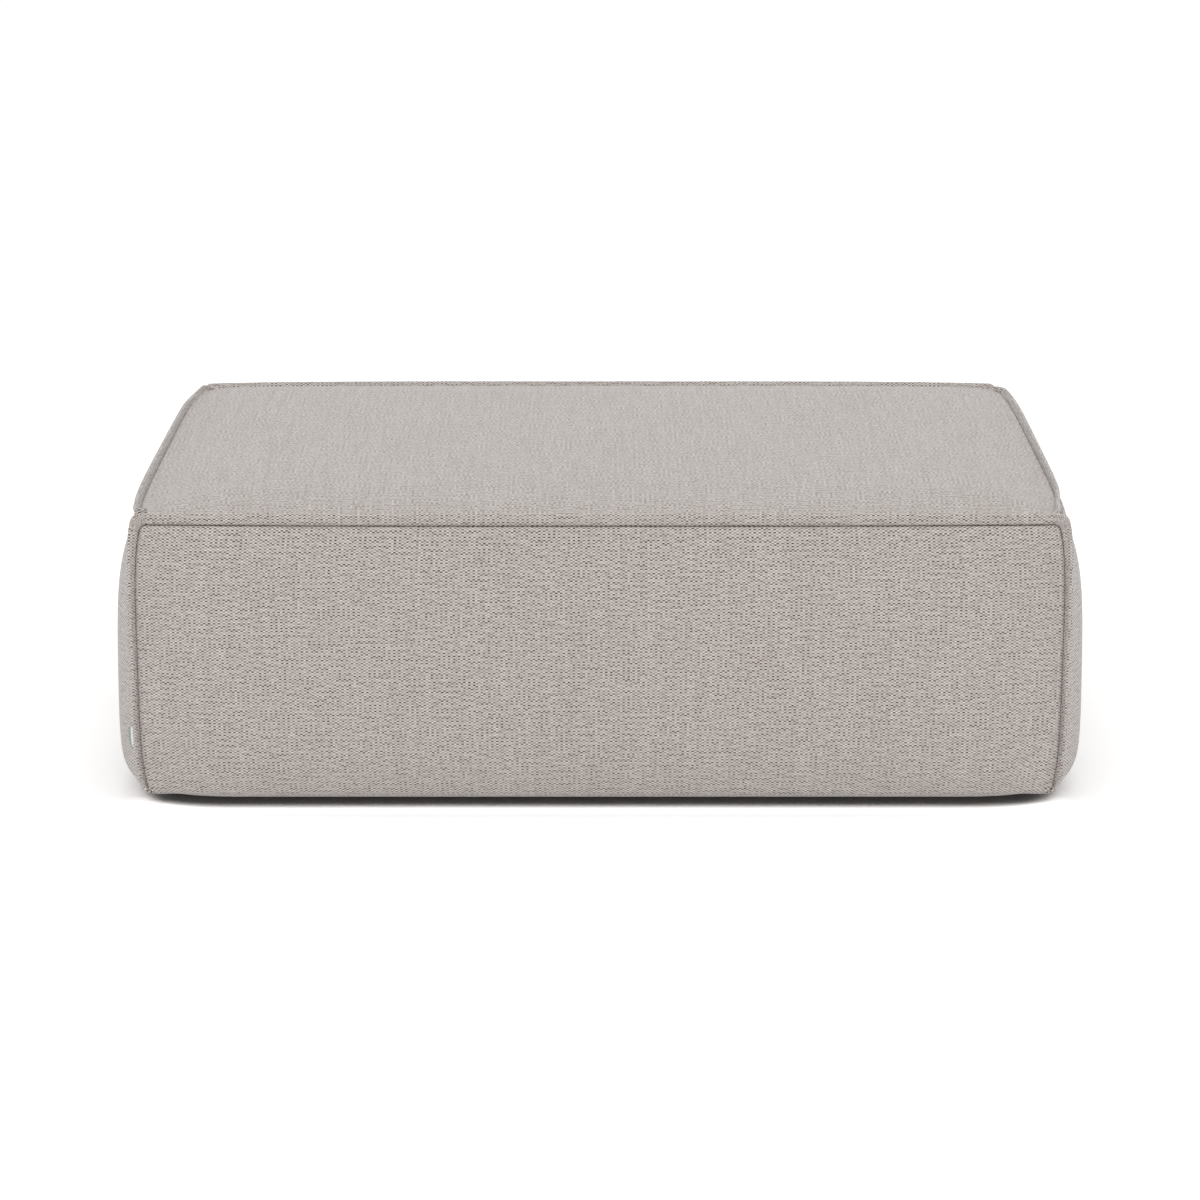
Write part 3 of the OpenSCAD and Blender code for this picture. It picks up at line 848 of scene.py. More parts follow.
@dataclass(frozen=True)
class Shape:
    """The surfaces of the cover, worked out from its form."""

    form: Form

    def side_panel(self, side: Side, u: np.ndarray, rows: Rows, sink: float = 0.0) -> Panel:
        """Work out a side panel, turned to face the front.

        Args:
            side: Which side it is for.
            u: Places across it, from -1 to 1.
            rows: The rows down it.
            sink: How much less it bulges.

        Returns:
            The panel.
        """
        form = self.form
        half, away = form.halves(side)
        bulge, base = form.bulges(side)
        u = u[None, :]
        share, turn, under = (r[:, None] for r in (rows.share, rows.turn, rows.under))
        seam_z = form.seam_z(u)
        z = np.where(turn > 0, form.floor_gap + form.turn_radius * (1 - np.sin(turn)),
                     mix(seam_z, form.roll_z, share))
        back = form.turn_radius * (1 - np.cos(turn)) + under * form.turn_under + 0 * u
        roll_length = form.turn_radius * np.pi / 2
        low = np.where(turn > 0, roll_length * (1 - turn / (np.pi / 2)), roll_length + z - form.roll_z)
        foot = form.foot_in(z)
        edge = half + form.corner_out(z) - back - foot
        x = u * edge
        to_side = edge - np.abs(x)
        upper = form.swell(seam_z - z, form.upper_reach, form.upper_power)
        lower = form.swell(low, form.lower_reach, form.lower_power)
        pushed = (bulge - sink) * upper * lower + base * (1 - form.level(z)) * (1 - under)
        out = (away + form.corner_out(z) + form.seam_bow(side) * form.bow(u) * form.level(z) - back
               + pushed * form.swell(to_side)
               - foot * (1 - form.swell(to_side, form.foot_reach, form.foot_power)))
        to_top = np.where(turn > 0, FAR, seam_z - z)
        return Panel(np.stack([x, -out, z + 0 * x], -1), to_side, to_top)

    def top_panel(self, u: np.ndarray, v: np.ndarray, sink: float = 0.0) -> Panel:
        """Work out the top panel.

        Args:
            u: Places across it, from -1 at the left to 1.
            v: Places along it, from 1 at the back to -1.
            sink: How much less it is crowned.

        Returns:
            The panel.
        """
        form = self.form
        u, v = u[None, :], v[:, None]
        edge_x = form.half_w + form.short_bow * form.bow(v)
        edge_y = form.half_d + form.long_bow * form.bow(u)
        x, y = u * edge_x, v * edge_y
        rise = form.seam_rise * (1 - (1 - form.bow(u)) * (1 - form.bow(v)))
        crown = (form.top_crown - sink) * form.swell(edge_x - np.abs(x)) * form.swell(edge_y - np.abs(y))
        dome = form.top_dome * (1 - u ** 2) * (1 - v ** 2)
        points = np.stack([x, y, form.seam_h + rise + crown + dome], -1)
        return Panel(points, edge_x - np.abs(x), edge_y - np.abs(y))


def rounded_distance(a: np.ndarray, b: np.ndarray, radius: float) -> np.ndarray:
    """Distance inside an outline whose two sides meet in a rounded corner.

    Args:
        a: Distance from one side.
        b: Distance from the other.
        radius: The corner's radius.

    Returns:
        The distance from the rounded outline, below zero outside it.
    """
    over_a, over_b = radius - a, radius - b
    corner = np.hypot(np.maximum(over_a, 0), np.maximum(over_b, 0))
    return radius - corner - np.minimum(np.maximum(over_a, over_b), 0)


def seam_places(length: float, reach: float, cell: float, gap: float) -> np.ndarray:
    """Distances along a panel, closest together beside its two seams.

    Args:
        length: The whole distance between the seams.
        reach: How far from a seam the cells grow.
        cell: The largest cell.
        gap: How far the panel stops short of each seam.

    Returns:
        The distances from the first seam.
    """
    count = math.ceil(2 * reach / cell)
    near = gap + (reach - gap) * (np.arange(count + 1) / count) ** 2
    middle = np.linspace(reach, length - reach, max(2, round((length - 2 * reach) / cell)))
    return np.concatenate([near, middle[1:-1], length - near[::-1]])


@dataclass(frozen=True)
class Lines:
    """Grid lines of the cover's panels: places across a long and a short side, and a side's rows."""

    across: dict
    rows: Rows

    @classmethod
    def lay(cls, form: Form, cell: float, gap: float, turns: int, unders: int) -> "Lines":
        """Space the lines, closest together beside the seams.

        Args:
            form: The cover's form.
            cell: The largest cell.
            gap: How far a panel stops short of each seam.
            turns: Rows round the turn under the frame.
            unders: Rows under the frame.

        Returns:
            The lines, with the places across keyed by whether the side is long.
        """
        across = {}
        for long, length in ((True, form.seam_w), (False, form.seam_d)):
            across[long] = seam_places(length, form.swell_reach, cell, gap) / (length / 2) - 1
        walls = seam_places(2 * form.wall_h, form.swell_reach, cell, gap)
        walls = walls[walls < form.wall_h - cell / 2] / form.wall_h
        return cls(across, Rows.down(np.append(walls, 1.0), turns, unders))


@dataclass
class Filling:
    """The push of the filling, from a cloth simulation of the whole cover as one coarse bag."""

    shape: Shape
    cell: float = 14 * MM
    turn_rows: int = 5
    under_rows: int = 1
    sink: float = 1.5 * MM
    cap: float = 1.5 * MM
    weld: float = 0.05 * MM
    held_reach: float = 1 * MM
    held_turn: float = 0.7
    frames: int = 20
    pressure: float = 4.0
    stiffness: float = 400.0
    shear: float = 120.0
    bending: float = 20.0
    mass: float = 0.4
    quality: int = 6
    push: dict = field(default_factory=dict)
    lines: Lines = field(init=False)

    def __post_init__(self) -> None:
        """Space the coarse panels' lines."""
        self.lines = Lines.lay(self.shape.form, self.cell, 0.0, self.turn_rows, self.under_rows)

    def grids(self) -> dict[str, Panel]:
        """Work out the coarse panels in the shared frame.

        Returns:
            The panels, keyed by the name of the side, or "top".
        """
        across, rows = self.lines.across, self.lines.rows
        panels = {}
        for side in Side:
            panel = self.shape.side_panel(side, across[side.long], rows, self.sink)
            panel.points = side.turn(panel.points)
            panels[side.title] = panel
        panels["top"] = self.shape.top_panel(across[True], across[False][::-1], self.sink)
        return panels

    def simulate(self) -> None:
        """Blow up the coarse cover from inside and keep how far each point of a panel moved."""
        panels = self.grids()
        points, moved = self._run(self._bag(panels))
        known = dict(zip(self._keys(points), moved))
        for name, panel in panels.items():
            keys = self._keys(panel.points.reshape(-1, 3).astype(np.float32))
            shift = np.array([known.get(key, np.zeros(3)) for key in keys])
            size = np.linalg.norm(shift, axis=1, keepdims=True)
            capped = shift * self.cap * np.tanh(size / self.cap) / np.maximum(size, TINY)
            self.push[name] = capped.reshape(panel.points.shape)
            log.info("filling: %s moves up to %.1f mm, capped to %.1f mm (%d points unmatched)",
                     name, size.max() / MM, np.linalg.norm(capped, axis=1).max() / MM,
                     sum(key not in known for key in keys))

    def _keys(self, points: np.ndarray) -> list[tuple]:
        """Round points to the weld's distance, so that the same point is found again."""
        return [tuple(key) for key in np.round(points / self.weld).astype(int).tolist()]

    def _bag(self, panels: dict[str, Panel]) -> bpy.types.Object:
        """Sew the coarse panels into one closed bag with a flat bottom.

        Args:
            panels: The panels, keyed by name.

        Returns:
            The bag, with its seams and its foot in the group "held".
        """
        points, faces, held = [], [], []
        count = 0
        for name, panel in panels.items():
            rows, cols = panel.points.shape[:2]
            quads = grid_faces(rows, cols, count)
            mirrored = name in ("back", "right")
            faces += [q[::-1] for q in quads] if mirrored else quads
            points.append(panel.points.reshape(-1, 3))
            pinned = np.minimum(panel.to_side, panel.to_top) < self.held_reach
            if name != "top":
                pinned |= (self.lines.rows.turn > self.held_turn)[:, None]
            held.append(pinned.reshape(-1))
            count += rows * cols
        points.append(np.array([[0, 0, self.shape.form.floor_gap]]))
        held.append(np.array([True]))
        bag = add_object("bag", make_mesh("bag", np.concatenate(points), faces))
        group = bag.vertex_groups.new(name="held")
        group.add([int(i) for i in np.flatnonzero(np.concatenate(held))], 1.0, "REPLACE")
        work = bmesh.new()
        work.from_mesh(bag.data)
        bmesh.ops.remove_doubles(work, verts=work.verts, dist=self.weld)
        work.verts.ensure_lookup_table()
        middle = min(work.verts, key=lambda v: v.co.x ** 2 + v.co.y ** 2 + v.co.z ** 2)
        for edge in [e for e in work.edges if e.is_boundary]:
            work.faces.new((edge.verts[0], edge.verts[1], middle))
        bmesh.ops.recalc_face_normals(work, faces=work.faces)
        work.to_mesh(bag.data)
        work.free()
        return bag

    def _run(self, bag: bpy.types.Object) -> tuple[np.ndarray, np.ndarray]:
        """Run the cloth and take it away again.

        Args:
            bag: The closed bag.

        Returns:
            Where its points started, and how far each moved.
        """
        cloth = bag.modifiers.new("cloth", "CLOTH")
        settings = cloth.settings
        settings.quality = self.quality
        settings.mass = self.mass
        settings.tension_stiffness = self.stiffness
        settings.compression_stiffness = self.stiffness
        settings.shear_stiffness = self.shear
        settings.bending_stiffness = self.bending
        settings.use_pressure = True
        settings.uniform_pressure_force = self.pressure
        settings.vertex_group_mass = "held"
        settings.effector_weights.gravity = 0
        cloth.collision_settings.use_collision = False
        cloth.point_cache.frame_start = 1
        cloth.point_cache.frame_end = self.frames
        scene = bpy.context.scene
        for number in range(1, self.frames + 1):
            scene.frame_set(number)
        blown = bag.evaluated_get(bpy.context.evaluated_depsgraph_get())
        places = []
        for mesh in (bag.data, blown.to_mesh()):
            flat = np.zeros(len(bag.data.vertices) * 3, np.float32)
            mesh.vertices.foreach_get("co", flat)
            places.append(flat.reshape(-1, 3))
        blown.to_mesh_clear()
        mesh = bag.data
        bpy.data.objects.remove(bag)
        bpy.data.meshes.remove(mesh)
        scene.frame_set(1)
        start, end = places
        return start, (end - start).astype(float)

    def side_push(self, side: Side, u: np.ndarray, rows: Rows) -> np.ndarray:
        """Carry the push to a finer grid of a side panel.

        Args:
            side: The side.
            u: The finer places across.
            rows: The finer rows.

        Returns:
            The push at each point, turned to face the front.
        """
        form = self.shape.form
        by_row = spline_weights(form.down(rows), form.down(self.lines.rows))
        by_col = spline_weights(u, self.lines.across[side.long])
        return np.einsum("ij,jkc,lk->ilc", by_row, side.turn_back(self.push[side.title]), by_col)

    def top_push(self, u: np.ndarray, v: np.ndarray) -> np.ndarray:
        """Carry the push to a finer grid of the top panel.

        Args:
            u: The finer places across.
            v: The finer places along, from the back.

        Returns:
            The push at each point.
        """
        by_row = spline_weights(-v, self.lines.across[False])
        by_col = spline_weights(u, self.lines.across[True])
        return np.einsum("ij,jkc,lk->ilc", by_row, self.push["top"], by_col)


@dataclass(frozen=True)
class Curl:
    """How an end of a short ridge curls inward: where it ends, its radius, its turn and its width there."""

    gap: float
    radius: float
    turn: float
    narrow: float


@dataclass(frozen=True)
class Stance:
    """How a long ridge stands: its tilt along the top, and its lean and extra width at the corners' top."""

    tilt: float
    top_lean: float
    square: float = 0.0


@dataclass
class Course:
    """What a ridge follows, turned to face the front, with an entry for each ring of its section.

    It holds the seam's points, the way the ridge stands at each and its width there, then the
    seam's points and the ridge's ways on the flat cloth.
    """

    points: np.ndarray
    ways: np.ndarray
    widths: np.ndarray
    flat: np.ndarray
    flat_ways: np.ndarray


@dataclass
class Cover:
    """The sewn cover: five woven panels, the pinched ridges at their seams, their stitches and a tag."""

    shape: Shape
    filling: Filling
    cloth_t: float = 1.2 * MM
    fill: float = 0.9
    cell: float = 6 * MM
    seam_gap: float = 1.1 * MM
    shoulder: float = 5.4 * MM
    shoulder_round: float = 4.8 * MM
    shoulder_reach: float = 32 * MM
    side_corner: float = 7 * MM
    top_corner: float = 9 * MM
    turn_rows: int = 12
    under_rows: int = 3
    arc_rows: int = 11
    pucker: float = 0.25 * MM
    pucker_reach: float = 14 * MM
    pucker_lengths: tuple = (9 * MM, 14 * MM, 23 * MM, 37 * MM)
    pucker_spread: tuple = (0.9, 1.1)
    ridge_w: float = 14.5 * MM
    ridge_root: float = 3 * MM
    ridge_thin: float = 0.5 * MM
    ridge_thick: float = 2.6 * MM
    ridge_round: float = 4.5 * MM
    ridge_tail: float = 7 * MM
    ridge_step: float = 5.5 * MM
    foot_rows: int = 6
    flank_rows: int = 4
    nose_rows: int = 11
    tail_reach: float = 28 * MM
    tail_thick: float = 0.6
    front_stance: Stance = Stance(math.radians(84), math.radians(35), 0.28)
    back_stance: Stance = Stance(math.radians(47), math.radians(62))
    corner_lean: float = math.radians(61)
    corner_reach: float = 70 * MM
    short_front_tilt: float = math.radians(60)
    short_back_tilt: float = math.radians(82)
    back_draw: float = 4 * MM
    draw_from: float = 0.6
    draw_rate: float = 1.4
    front_curl: Curl = Curl(26 * MM, 9 * MM, math.radians(85), 0.95)
    back_curl: Curl = Curl(3 * MM, 22 * MM, math.radians(62), 0.5)
    curl_rows: int = 9
    stitch_pitch: float = 4.8 * MM
    stitch_length: float = 4.0 * MM
    stitch_d: float = 1.5 * MM
    stitch_up: float = -0.4 * MM
    stitch_out: float = 1.5 * MM
    tag_z: float = 79 * MM
    tag_h: float = 23 * MM
    tag_l: float = 10.5 * MM
    tag_t: float = 0.8 * MM
    tag_root: tuple = (-3.6 * MM, -7.5 * MM, 0.0)
    tag_way: tuple = (-0.97, -0.25, 0.0)
    tag_hollow: float = 0.45
    tag_rows: int = 9
    tag_steps: int = 8
    tag_bend: int = 15
    flat_down: dict = field(default_factory=dict)
    flat_half: dict = field(default_factory=dict)
    lines: Lines = field(init=False)

    def __post_init__(self) -> None:
        """Space the fine panels' lines."""
        self.lines = Lines.lay(self.shape.form, self.cell, self.seam_gap, self.turn_rows, self.under_rows)

    def build(self) -> None:
        """Build and dress every piece of the cover."""
        for side in Side:
            self._side(side)
        self._top()
        for side in (Side.FRONT, Side.BACK):
            self._long_ridge(side)
        for side in (Side.LEFT, Side.RIGHT):
            self._short_ridge(side)
        self._tag()

    def _puckers(self, along: np.ndarray, seed: int) -> np.ndarray:
        """Make the small gathers along a seam, from a few sines with seeded phases.

        Args:
            along: How far along the seam each point lies.
            seed: Picks the phases.

        Returns:
            The gathers, about from -1 to 1.
        """
        dice = np.random.default_rng(seed)
        total = np.zeros_like(along)
        for length in self.pucker_lengths:
            wave = length * dice.uniform(*self.pucker_spread)
            total += np.sin(2 * np.pi * along / wave + dice.uniform(0, 2 * np.pi))
        return total / 2

    def _tucked(self, panel: Panel, corner: float, seed: int) -> np.ndarray:
        """Draw a panel's edges into the grooves at the foot of the ridges.

        Args:
            panel: The panel.
            corner: Radius of its outline's corners.
            seed: Picks the panel's own gathers.

        Returns:
            Its points, with the edges drawn in.
        """
        along = np.where(panel.to_side < panel.to_top, panel.points[..., 2] + panel.points[..., 1],
                         panel.points[..., 0])
        distance = np.clip(rounded_distance(panel.to_side, panel.to_top, corner) - self.seam_gap, 0, FAR)
        gather = self.pucker * np.exp(-distance / self.pucker_reach) * self._puckers(along, seed)
        left = 1 - np.clip(distance / self.shoulder_round, 0, 1)
        fade = 1 - np.clip((distance - self.shoulder_round) / self.shoulder_reach, 0, 1)
        roll = self.shoulder * np.sqrt(1 - left ** 2) * fade ** 2
        return panel.points + (gather * (1 - left) + roll)[..., None] * normals_of(panel.points)

    def _shell(self, name: str, outer: np.ndarray, cloth_at: np.ndarray, side: Side = Side.FRONT) -> None:
        """Give a woven panel its thickness, and turn it to its side.

        Args:
            name: Which panel it is.
            outer: The outer face as a grid.
            cloth_at: Flat cloth coordinates of the grid.
            side: The side that it is turned to.
        """
        inner = outer - self.cloth_t * normals_of(outer)
        points, faces = closed_between(side.turn(outer), side.turn(inner))
        flat = np.concatenate([cloth_at.reshape(-1, 2)] * 2)
        piece = make_piece(f"woven_{name}_panel", points, faces, CLOTH, flat)
        declare(piece, f"cover_{name}")

    def _side(self, side: Side) -> None:
        """Build a side panel.

        Args:
            side: The side.
        """
        u, rows = self.lines.across[side.long], self.lines.rows
        panel = self.shape.side_panel(side, u, rows, self.filling.sink)
        panel.points = panel.points + self.filling.side_push(side, u, rows)
        across = lengths_along(panel.points[len(rows.share) // 2])
        down = lengths_along(panel.points[:, len(u) // 2])
        self.flat_half[side] = across[-1] / 2
        self.flat_down[side] = -down
        cloth_at = np.stack(np.meshgrid(across - self.flat_half[side], -down), -1)
        outer = self._tucked(panel, self.side_corner, seed=list(Side).index(side))
        self._shell(side.title, outer, cloth_at, side)

    def _top(self) -> None:
        """Build the top panel."""
        u, v = self.lines.across[True], self.lines.across[False][::-1]
        panel = self.shape.top_panel(u, v, self.filling.sink)
        panel.points = panel.points + self.filling.top_push(u, v)
        across = lengths_along(panel.points[len(v) // 2])
        down = lengths_along(panel.points[:, len(u) // 2])
        cloth_at = np.stack(np.meshgrid(across - across[-1] / 2, down[-1] - down), -1)
        self._shell("top", self._tucked(panel, self.top_corner, seed=len(Side)), cloth_at)

    def _section(self, width: float) -> np.ndarray:
        """Outline of a ridge: thin at its foot, full at its rounded fold.

        Args:
            width: How far the ridge stands out.

        Returns:
            Points as distance outward and distance across, all round.
        """
        scale = width / self.ridge_w
        thin = self.ridge_thin * scale
        thick = self.ridge_thick * mix(self.tail_thick, 1.0, scale)
        fold = width - thick
        curve = self.ridge_round * scale * (1 - np.cos(np.linspace(0, np.pi / 2, self.foot_rows)))
        flank = np.linspace(curve[-1], fold, self.flank_rows)[1:]
        out = np.concatenate([[-self.ridge_root], curve, flank])
        left = 1 - np.clip(out / curve[-1], 0, 1)
        half = thin + (thick - thin) * np.sqrt(1 - left ** 2)
        turn = np.linspace(-np.pi / 2, np.pi / 2, self.nose_rows)[1:-1]
        face = np.stack([out, -half], -1)
        nose = np.stack([fold + thick * np.cos(turn), thick * np.sin(turn)], -1)
        back = np.stack([out[::-1], half[::-1]], -1)
        return np.concatenate([face, nose, back])

    def _sweep(self, side: Side, course: Course) -> None:
        """Sweep a ridge's section along its seam, and stitch both sides of its foot.

        Args:
            side: The side that it is turned to.
            course: What it follows.
        """
        along = unit(np.gradient(course.points, axis=0))
        out = unit(course.ways - along * (along * course.ways).sum(-1, keepdims=True))
        across = np.cross(along, out)
        rings, cloth_at = [], []
        for i, width in enumerate(course.widths):
            section = self._section(width)
            arc = lengths_along(section) - self.ridge_root
            rings.append(course.points[i] + section[:, :1] * out[i] + section[:, 1:] * across[i])
            cloth_at.append(course.flat[i] + arc[:, None] * course.flat_ways[i])
        grid = np.array(rings)
        count, around = grid.shape[:2]
        number = np.arange(count * around).reshape(count, around)
        ahead = np.roll(number, -1, axis=1)
        faces = list(zip(number[:-1].ravel(), number[1:].ravel(), ahead[1:].ravel(), ahead[:-1].ravel()))
        faces += [tuple(number[0]), tuple(number[-1][::-1])]
        name = f"pinched_{side.title}_ridge"
        piece = make_piece(name, side.turn(grid.reshape(-1, 3)), faces, CLOTH, np.concatenate(cloth_at))
        declare(piece, f"ridge_{side.title}")
        # The dark stitches in the groove at the ridge's foot are real stitching, and painted shade that
        # deepens the groove.
        for label, sign in (("front", -1.0), ("back", 1.0)):
            line = course.points + self.stitch_up * out + sign * self.stitch_out * across
            make_stitches(f"{name}_{label}_stitches", side.turn(line), self)

    def _corner_width(self, z: float) -> float:
        """Width of a corner ridge at a height: it thins out towards its tail."""
        share = (z - self.shape.form.floor_gap) / self.tail_reach
        return mix(self.ridge_tail, self.ridge_w, ease(share))

    def _lean(self, z: float, stance: Stance) -> np.ndarray:
        """Give the way a corner ridge stands at a height.

        Args:
            z: The height.
            stance: How the ridge stands at the top.

        Returns:
            The way, turned to face the front.
        """
        arc_z = self.shape.form.seam_h - self.side_corner
        near = np.clip((z - arc_z) / self.corner_reach + 1, 0, 1)
        angle = mix(self.corner_lean, stance.top_lean, near ** 2)
        return np.array([-math.cos(angle), -math.sin(angle), 0.0])

    def _long_ridge(self, side: Side) -> None:
        """Build the ridge round the front or the back panel, from tail to tail.

        Args:
            side: The front or the back.
        """
        form = self.shape.form
        stance = self.front_stance if side is Side.FRONT else self.back_stance
        up = np.array([0.0, -math.cos(stance.tilt), math.sin(stance.tilt)])
        down = np.array([0.0, 0.0, -1.0])
        edge_down, half_flat = form.down(self.lines.rows), self.flat_half[side]
        radius = self.side_corner
        arc_z = form.seam_h - radius
        rings = []
        for turn in np.linspace(np.pi / 2, 0, self.turn_rows, endpoint=False):
            z = form.floor_gap + form.turn_radius * (1 - math.sin(turn))
            at = np.interp(form.wall_h + turn * form.turn_radius, edge_down, self.flat_down[side])
            point = form.corner_seam(np.array(z), form.turn_radius * (1 - math.cos(turn)))
            way = mix(self._lean(z, stance), down, turn / (np.pi / 2))
            rings.append((point, way, self._corner_width(z), (-half_flat, at), (-1, 0)))
        for z in np.linspace(form.roll_z, arc_z, round((arc_z - form.roll_z) / self.ridge_step)):
            at = np.interp(form.seam_h - z, edge_down, self.flat_down[side])
            point = form.corner_seam(np.array(z), 0.0)
            rings.append((point, self._lean(z, stance), self._corner_width(z), (-half_flat, at), (-1, 0)))
        for turn in np.linspace(0, np.pi / 2, self.arc_rows)[1:]:
            z = arc_z + radius * math.sin(turn)
            inward = radius * (1 - math.cos(turn))
            point = form.corner_seam(np.array(z), 0.0) + np.array([inward, 0, 0])
            way = self._lean(arc_z, stance) * math.cos(turn) + up * math.sin(turn)
            width = self.ridge_w * (1 + stance.square * math.sin(2 * turn) ** 2)
            at = (-half_flat + inward, -radius + radius * math.sin(turn))
            rings.append((point, way, width, at, (-math.cos(turn), math.sin(turn))))
        last = 1 - radius / form.half_w
        for u in np.linspace(-last, 0, round(form.half_w / self.ridge_step))[1:]:
            rings.append((form.top_seam(side, np.array(u)), up, self.ridge_w, (u * half_flat, 0.0), (0, 1)))
        mirror = np.array([-1, 1, 1])
        mirrors = (mirror, mirror, 1, mirror[:2], mirror[:2])
        left = [np.array(part, float) for part in zip(*rings)]
        whole = [np.concatenate([part, part[-2::-1] * sign]) for part, sign in zip(left, mirrors)]
        self._sweep(side, Course(*whole))

    def _short_ridge(self, side: Side) -> None:
        """Build the ridge along the top of a short side, curled inward at its ends.

        Args:
            side: The left or the right.
        """
        form = self.shape.form
        # The left side is turned so that its front comes last, the right side so that it comes first
        curls = (self.back_curl, self.front_curl) if side is Side.LEFT else (self.front_curl, self.back_curl)
        starts = [form.half_d - c.gap - c.radius * math.sin(c.turn) for c in curls]
        count = round(sum(starts) / self.ridge_step)
        straight = form.top_seam(side, np.linspace(-starts[0], starts[1], count) / form.half_d)
        shares = np.arange(1, self.curl_rows + 1) / self.curl_rows
        ends, narrow = [], []
        for sign, start, curl in zip((-1, 1), starts, curls):
            x = sign * (start + curl.radius * np.sin(shares * curl.turn))
            inward = curl.radius * (1 - np.cos(shares * curl.turn))
            ends.append(form.top_seam(side, x / form.half_d) + inward[:, None] * np.array([0.0, 1.0, 0.0]))
            narrow.append(mix(1.0, curl.narrow, shares ** 2))
        path = np.concatenate([ends[0][::-1], straight, ends[1]])
        widths = self.ridge_w * np.concatenate([narrow[0][::-1], np.ones(count), narrow[1]])
        forward = path[:, 0] / form.half_d * (1 if side is Side.LEFT else -1)
        drawn = (-forward - self.draw_from) / (1 - self.draw_from) * self.draw_rate
        path[:, 1] += self.back_draw * ease(drawn)
        tilt = mix(self.short_back_tilt, self.short_front_tilt, np.clip(forward / 2 + 0.5, 0, 1))
        ways = np.stack([0 * tilt, -np.cos(tilt), np.sin(tilt)], -1)
        flat = np.stack([lengths_along(path), np.zeros(len(path))], -1)
        self._sweep(side, Course(path, ways, widths, flat, np.tile([0.0, 1.0], (len(path), 1))))

    def _tag(self) -> None:
        """Build the small folded tag beside the front left corner seam, as a closed loop of cloth."""
        way = unit(np.array(self.tag_way))
        lift = np.array([-way[1], way[0], 0.0]) * self.tag_t
        reach = self.tag_l - self.tag_t
        leaf = np.linspace(0, reach, self.tag_steps)[:, None] * way
        turn = np.linspace(0, np.pi, self.tag_bend)[1:-1, None]
        bend = reach * way + self.tag_t * way * np.sin(turn) + lift * np.cos(turn)
        loop = np.concatenate([leaf + lift, bend, leaf[::-1] - lift])
        middle = way * (self.tag_l / 2)
        hollow = mix(loop, middle + (loop - middle) @ np.outer(way, way), self.tag_hollow)
        # Each leaf of the fold goes once across the label
        across = np.linspace(0, 2, len(loop)) % 1.0001
        outer, inner, cloth_at = [], [], []
        for z in np.linspace(self.tag_z, self.tag_z + self.tag_h, self.tag_rows):
            root = self.shape.form.corner_seam(np.array(z), 0.0) + np.array(self.tag_root)
            outer.append(root + loop)
            inner.append(root + hollow)
            cloth_at.append(np.stack([across, np.full(len(loop), z)], -1))
        points, faces = closed_between(np.array(outer), np.array(inner))
        flat = np.concatenate([np.concatenate(cloth_at)] * 2)
        declare(make_piece("folded_blank_tag", points, faces, TAG, flat), "blank_tag")


def stitch_tree() -> bpy.types.NodeTree:
    """Build the node tree that lays stitches along a seam line.

    Returns:
        The tree, with the pitch, the stitch's length and its thickness as inputs.
    """
    tree = bpy.data.node_groups.new("lockstitch_line", "GeometryNodeTree")
    tree.interface.new_socket(name="Seam", in_out="INPUT", socket_type="NodeSocketGeometry")
    for name in ("Pitch", "Length", "Thickness"):
        tree.interface.new_socket(name=name, in_out="INPUT", socket_type="NodeSocketFloat")
    tree.interface.new_socket(name="Seed", in_out="INPUT", socket_type="NodeSocketInt")
    tree.interface.new_socket(name="Thread", in_out="INPUT", socket_type="NodeSocketMaterial")
    tree.interface.new_socket(name="Stitches", in_out="OUTPUT", socket_type="NodeSocketGeometry")
    given = add_node(tree, "NodeGroupInput").node
    seam, pitch, length, thick, seed, thread = given.outputs[:6]
    line = add_node(tree, "GeometryNodeMeshToCurve", [seam])
    spots = add_node(tree, "GeometryNodeCurveToPoints", {"Curve": line, "Length": pitch}, mode="LENGTH").node
    wobble = add_node(tree, "FunctionNodeRandomValue",
                      {"Min": (-WOBBLE,) * 3, "Max": (WOBBLE,) * 3, "Seed": seed}, data_type="FLOAT_VECTOR")
    way = add_node(tree, "ShaderNodeVectorMath", [spots.outputs["Tangent"], wobble], operation="ADD")
    turn = add_node(tree, "FunctionNodeAlignRotationToVector", {"Vector": way}, axis="X")
    # A bead one metre across, which the sizes then scale
    bead = add_node(tree, "GeometryNodeMeshIcoSphere", {"Radius": 0.5, "Subdivisions": 1})
    size = add_node(tree, "ShaderNodeCombineXYZ", [length, thick, thick])
    stitch = add_node(tree, "GeometryNodeInstanceOnPoints",
                      {"Points": spots.outputs["Points"], "Instance": bead, "Rotation": turn, "Scale": size})
    real = add_node(tree, "GeometryNodeRealizeInstances", [stitch])
    smooth = add_node(tree, "GeometryNodeSetShadeSmooth", [real])
    done = add_node(tree, "GeometryNodeSetMaterial", {"Geometry": smooth, "Material": thread})
    add_node(tree, "NodeGroupOutput", [done])
    return tree


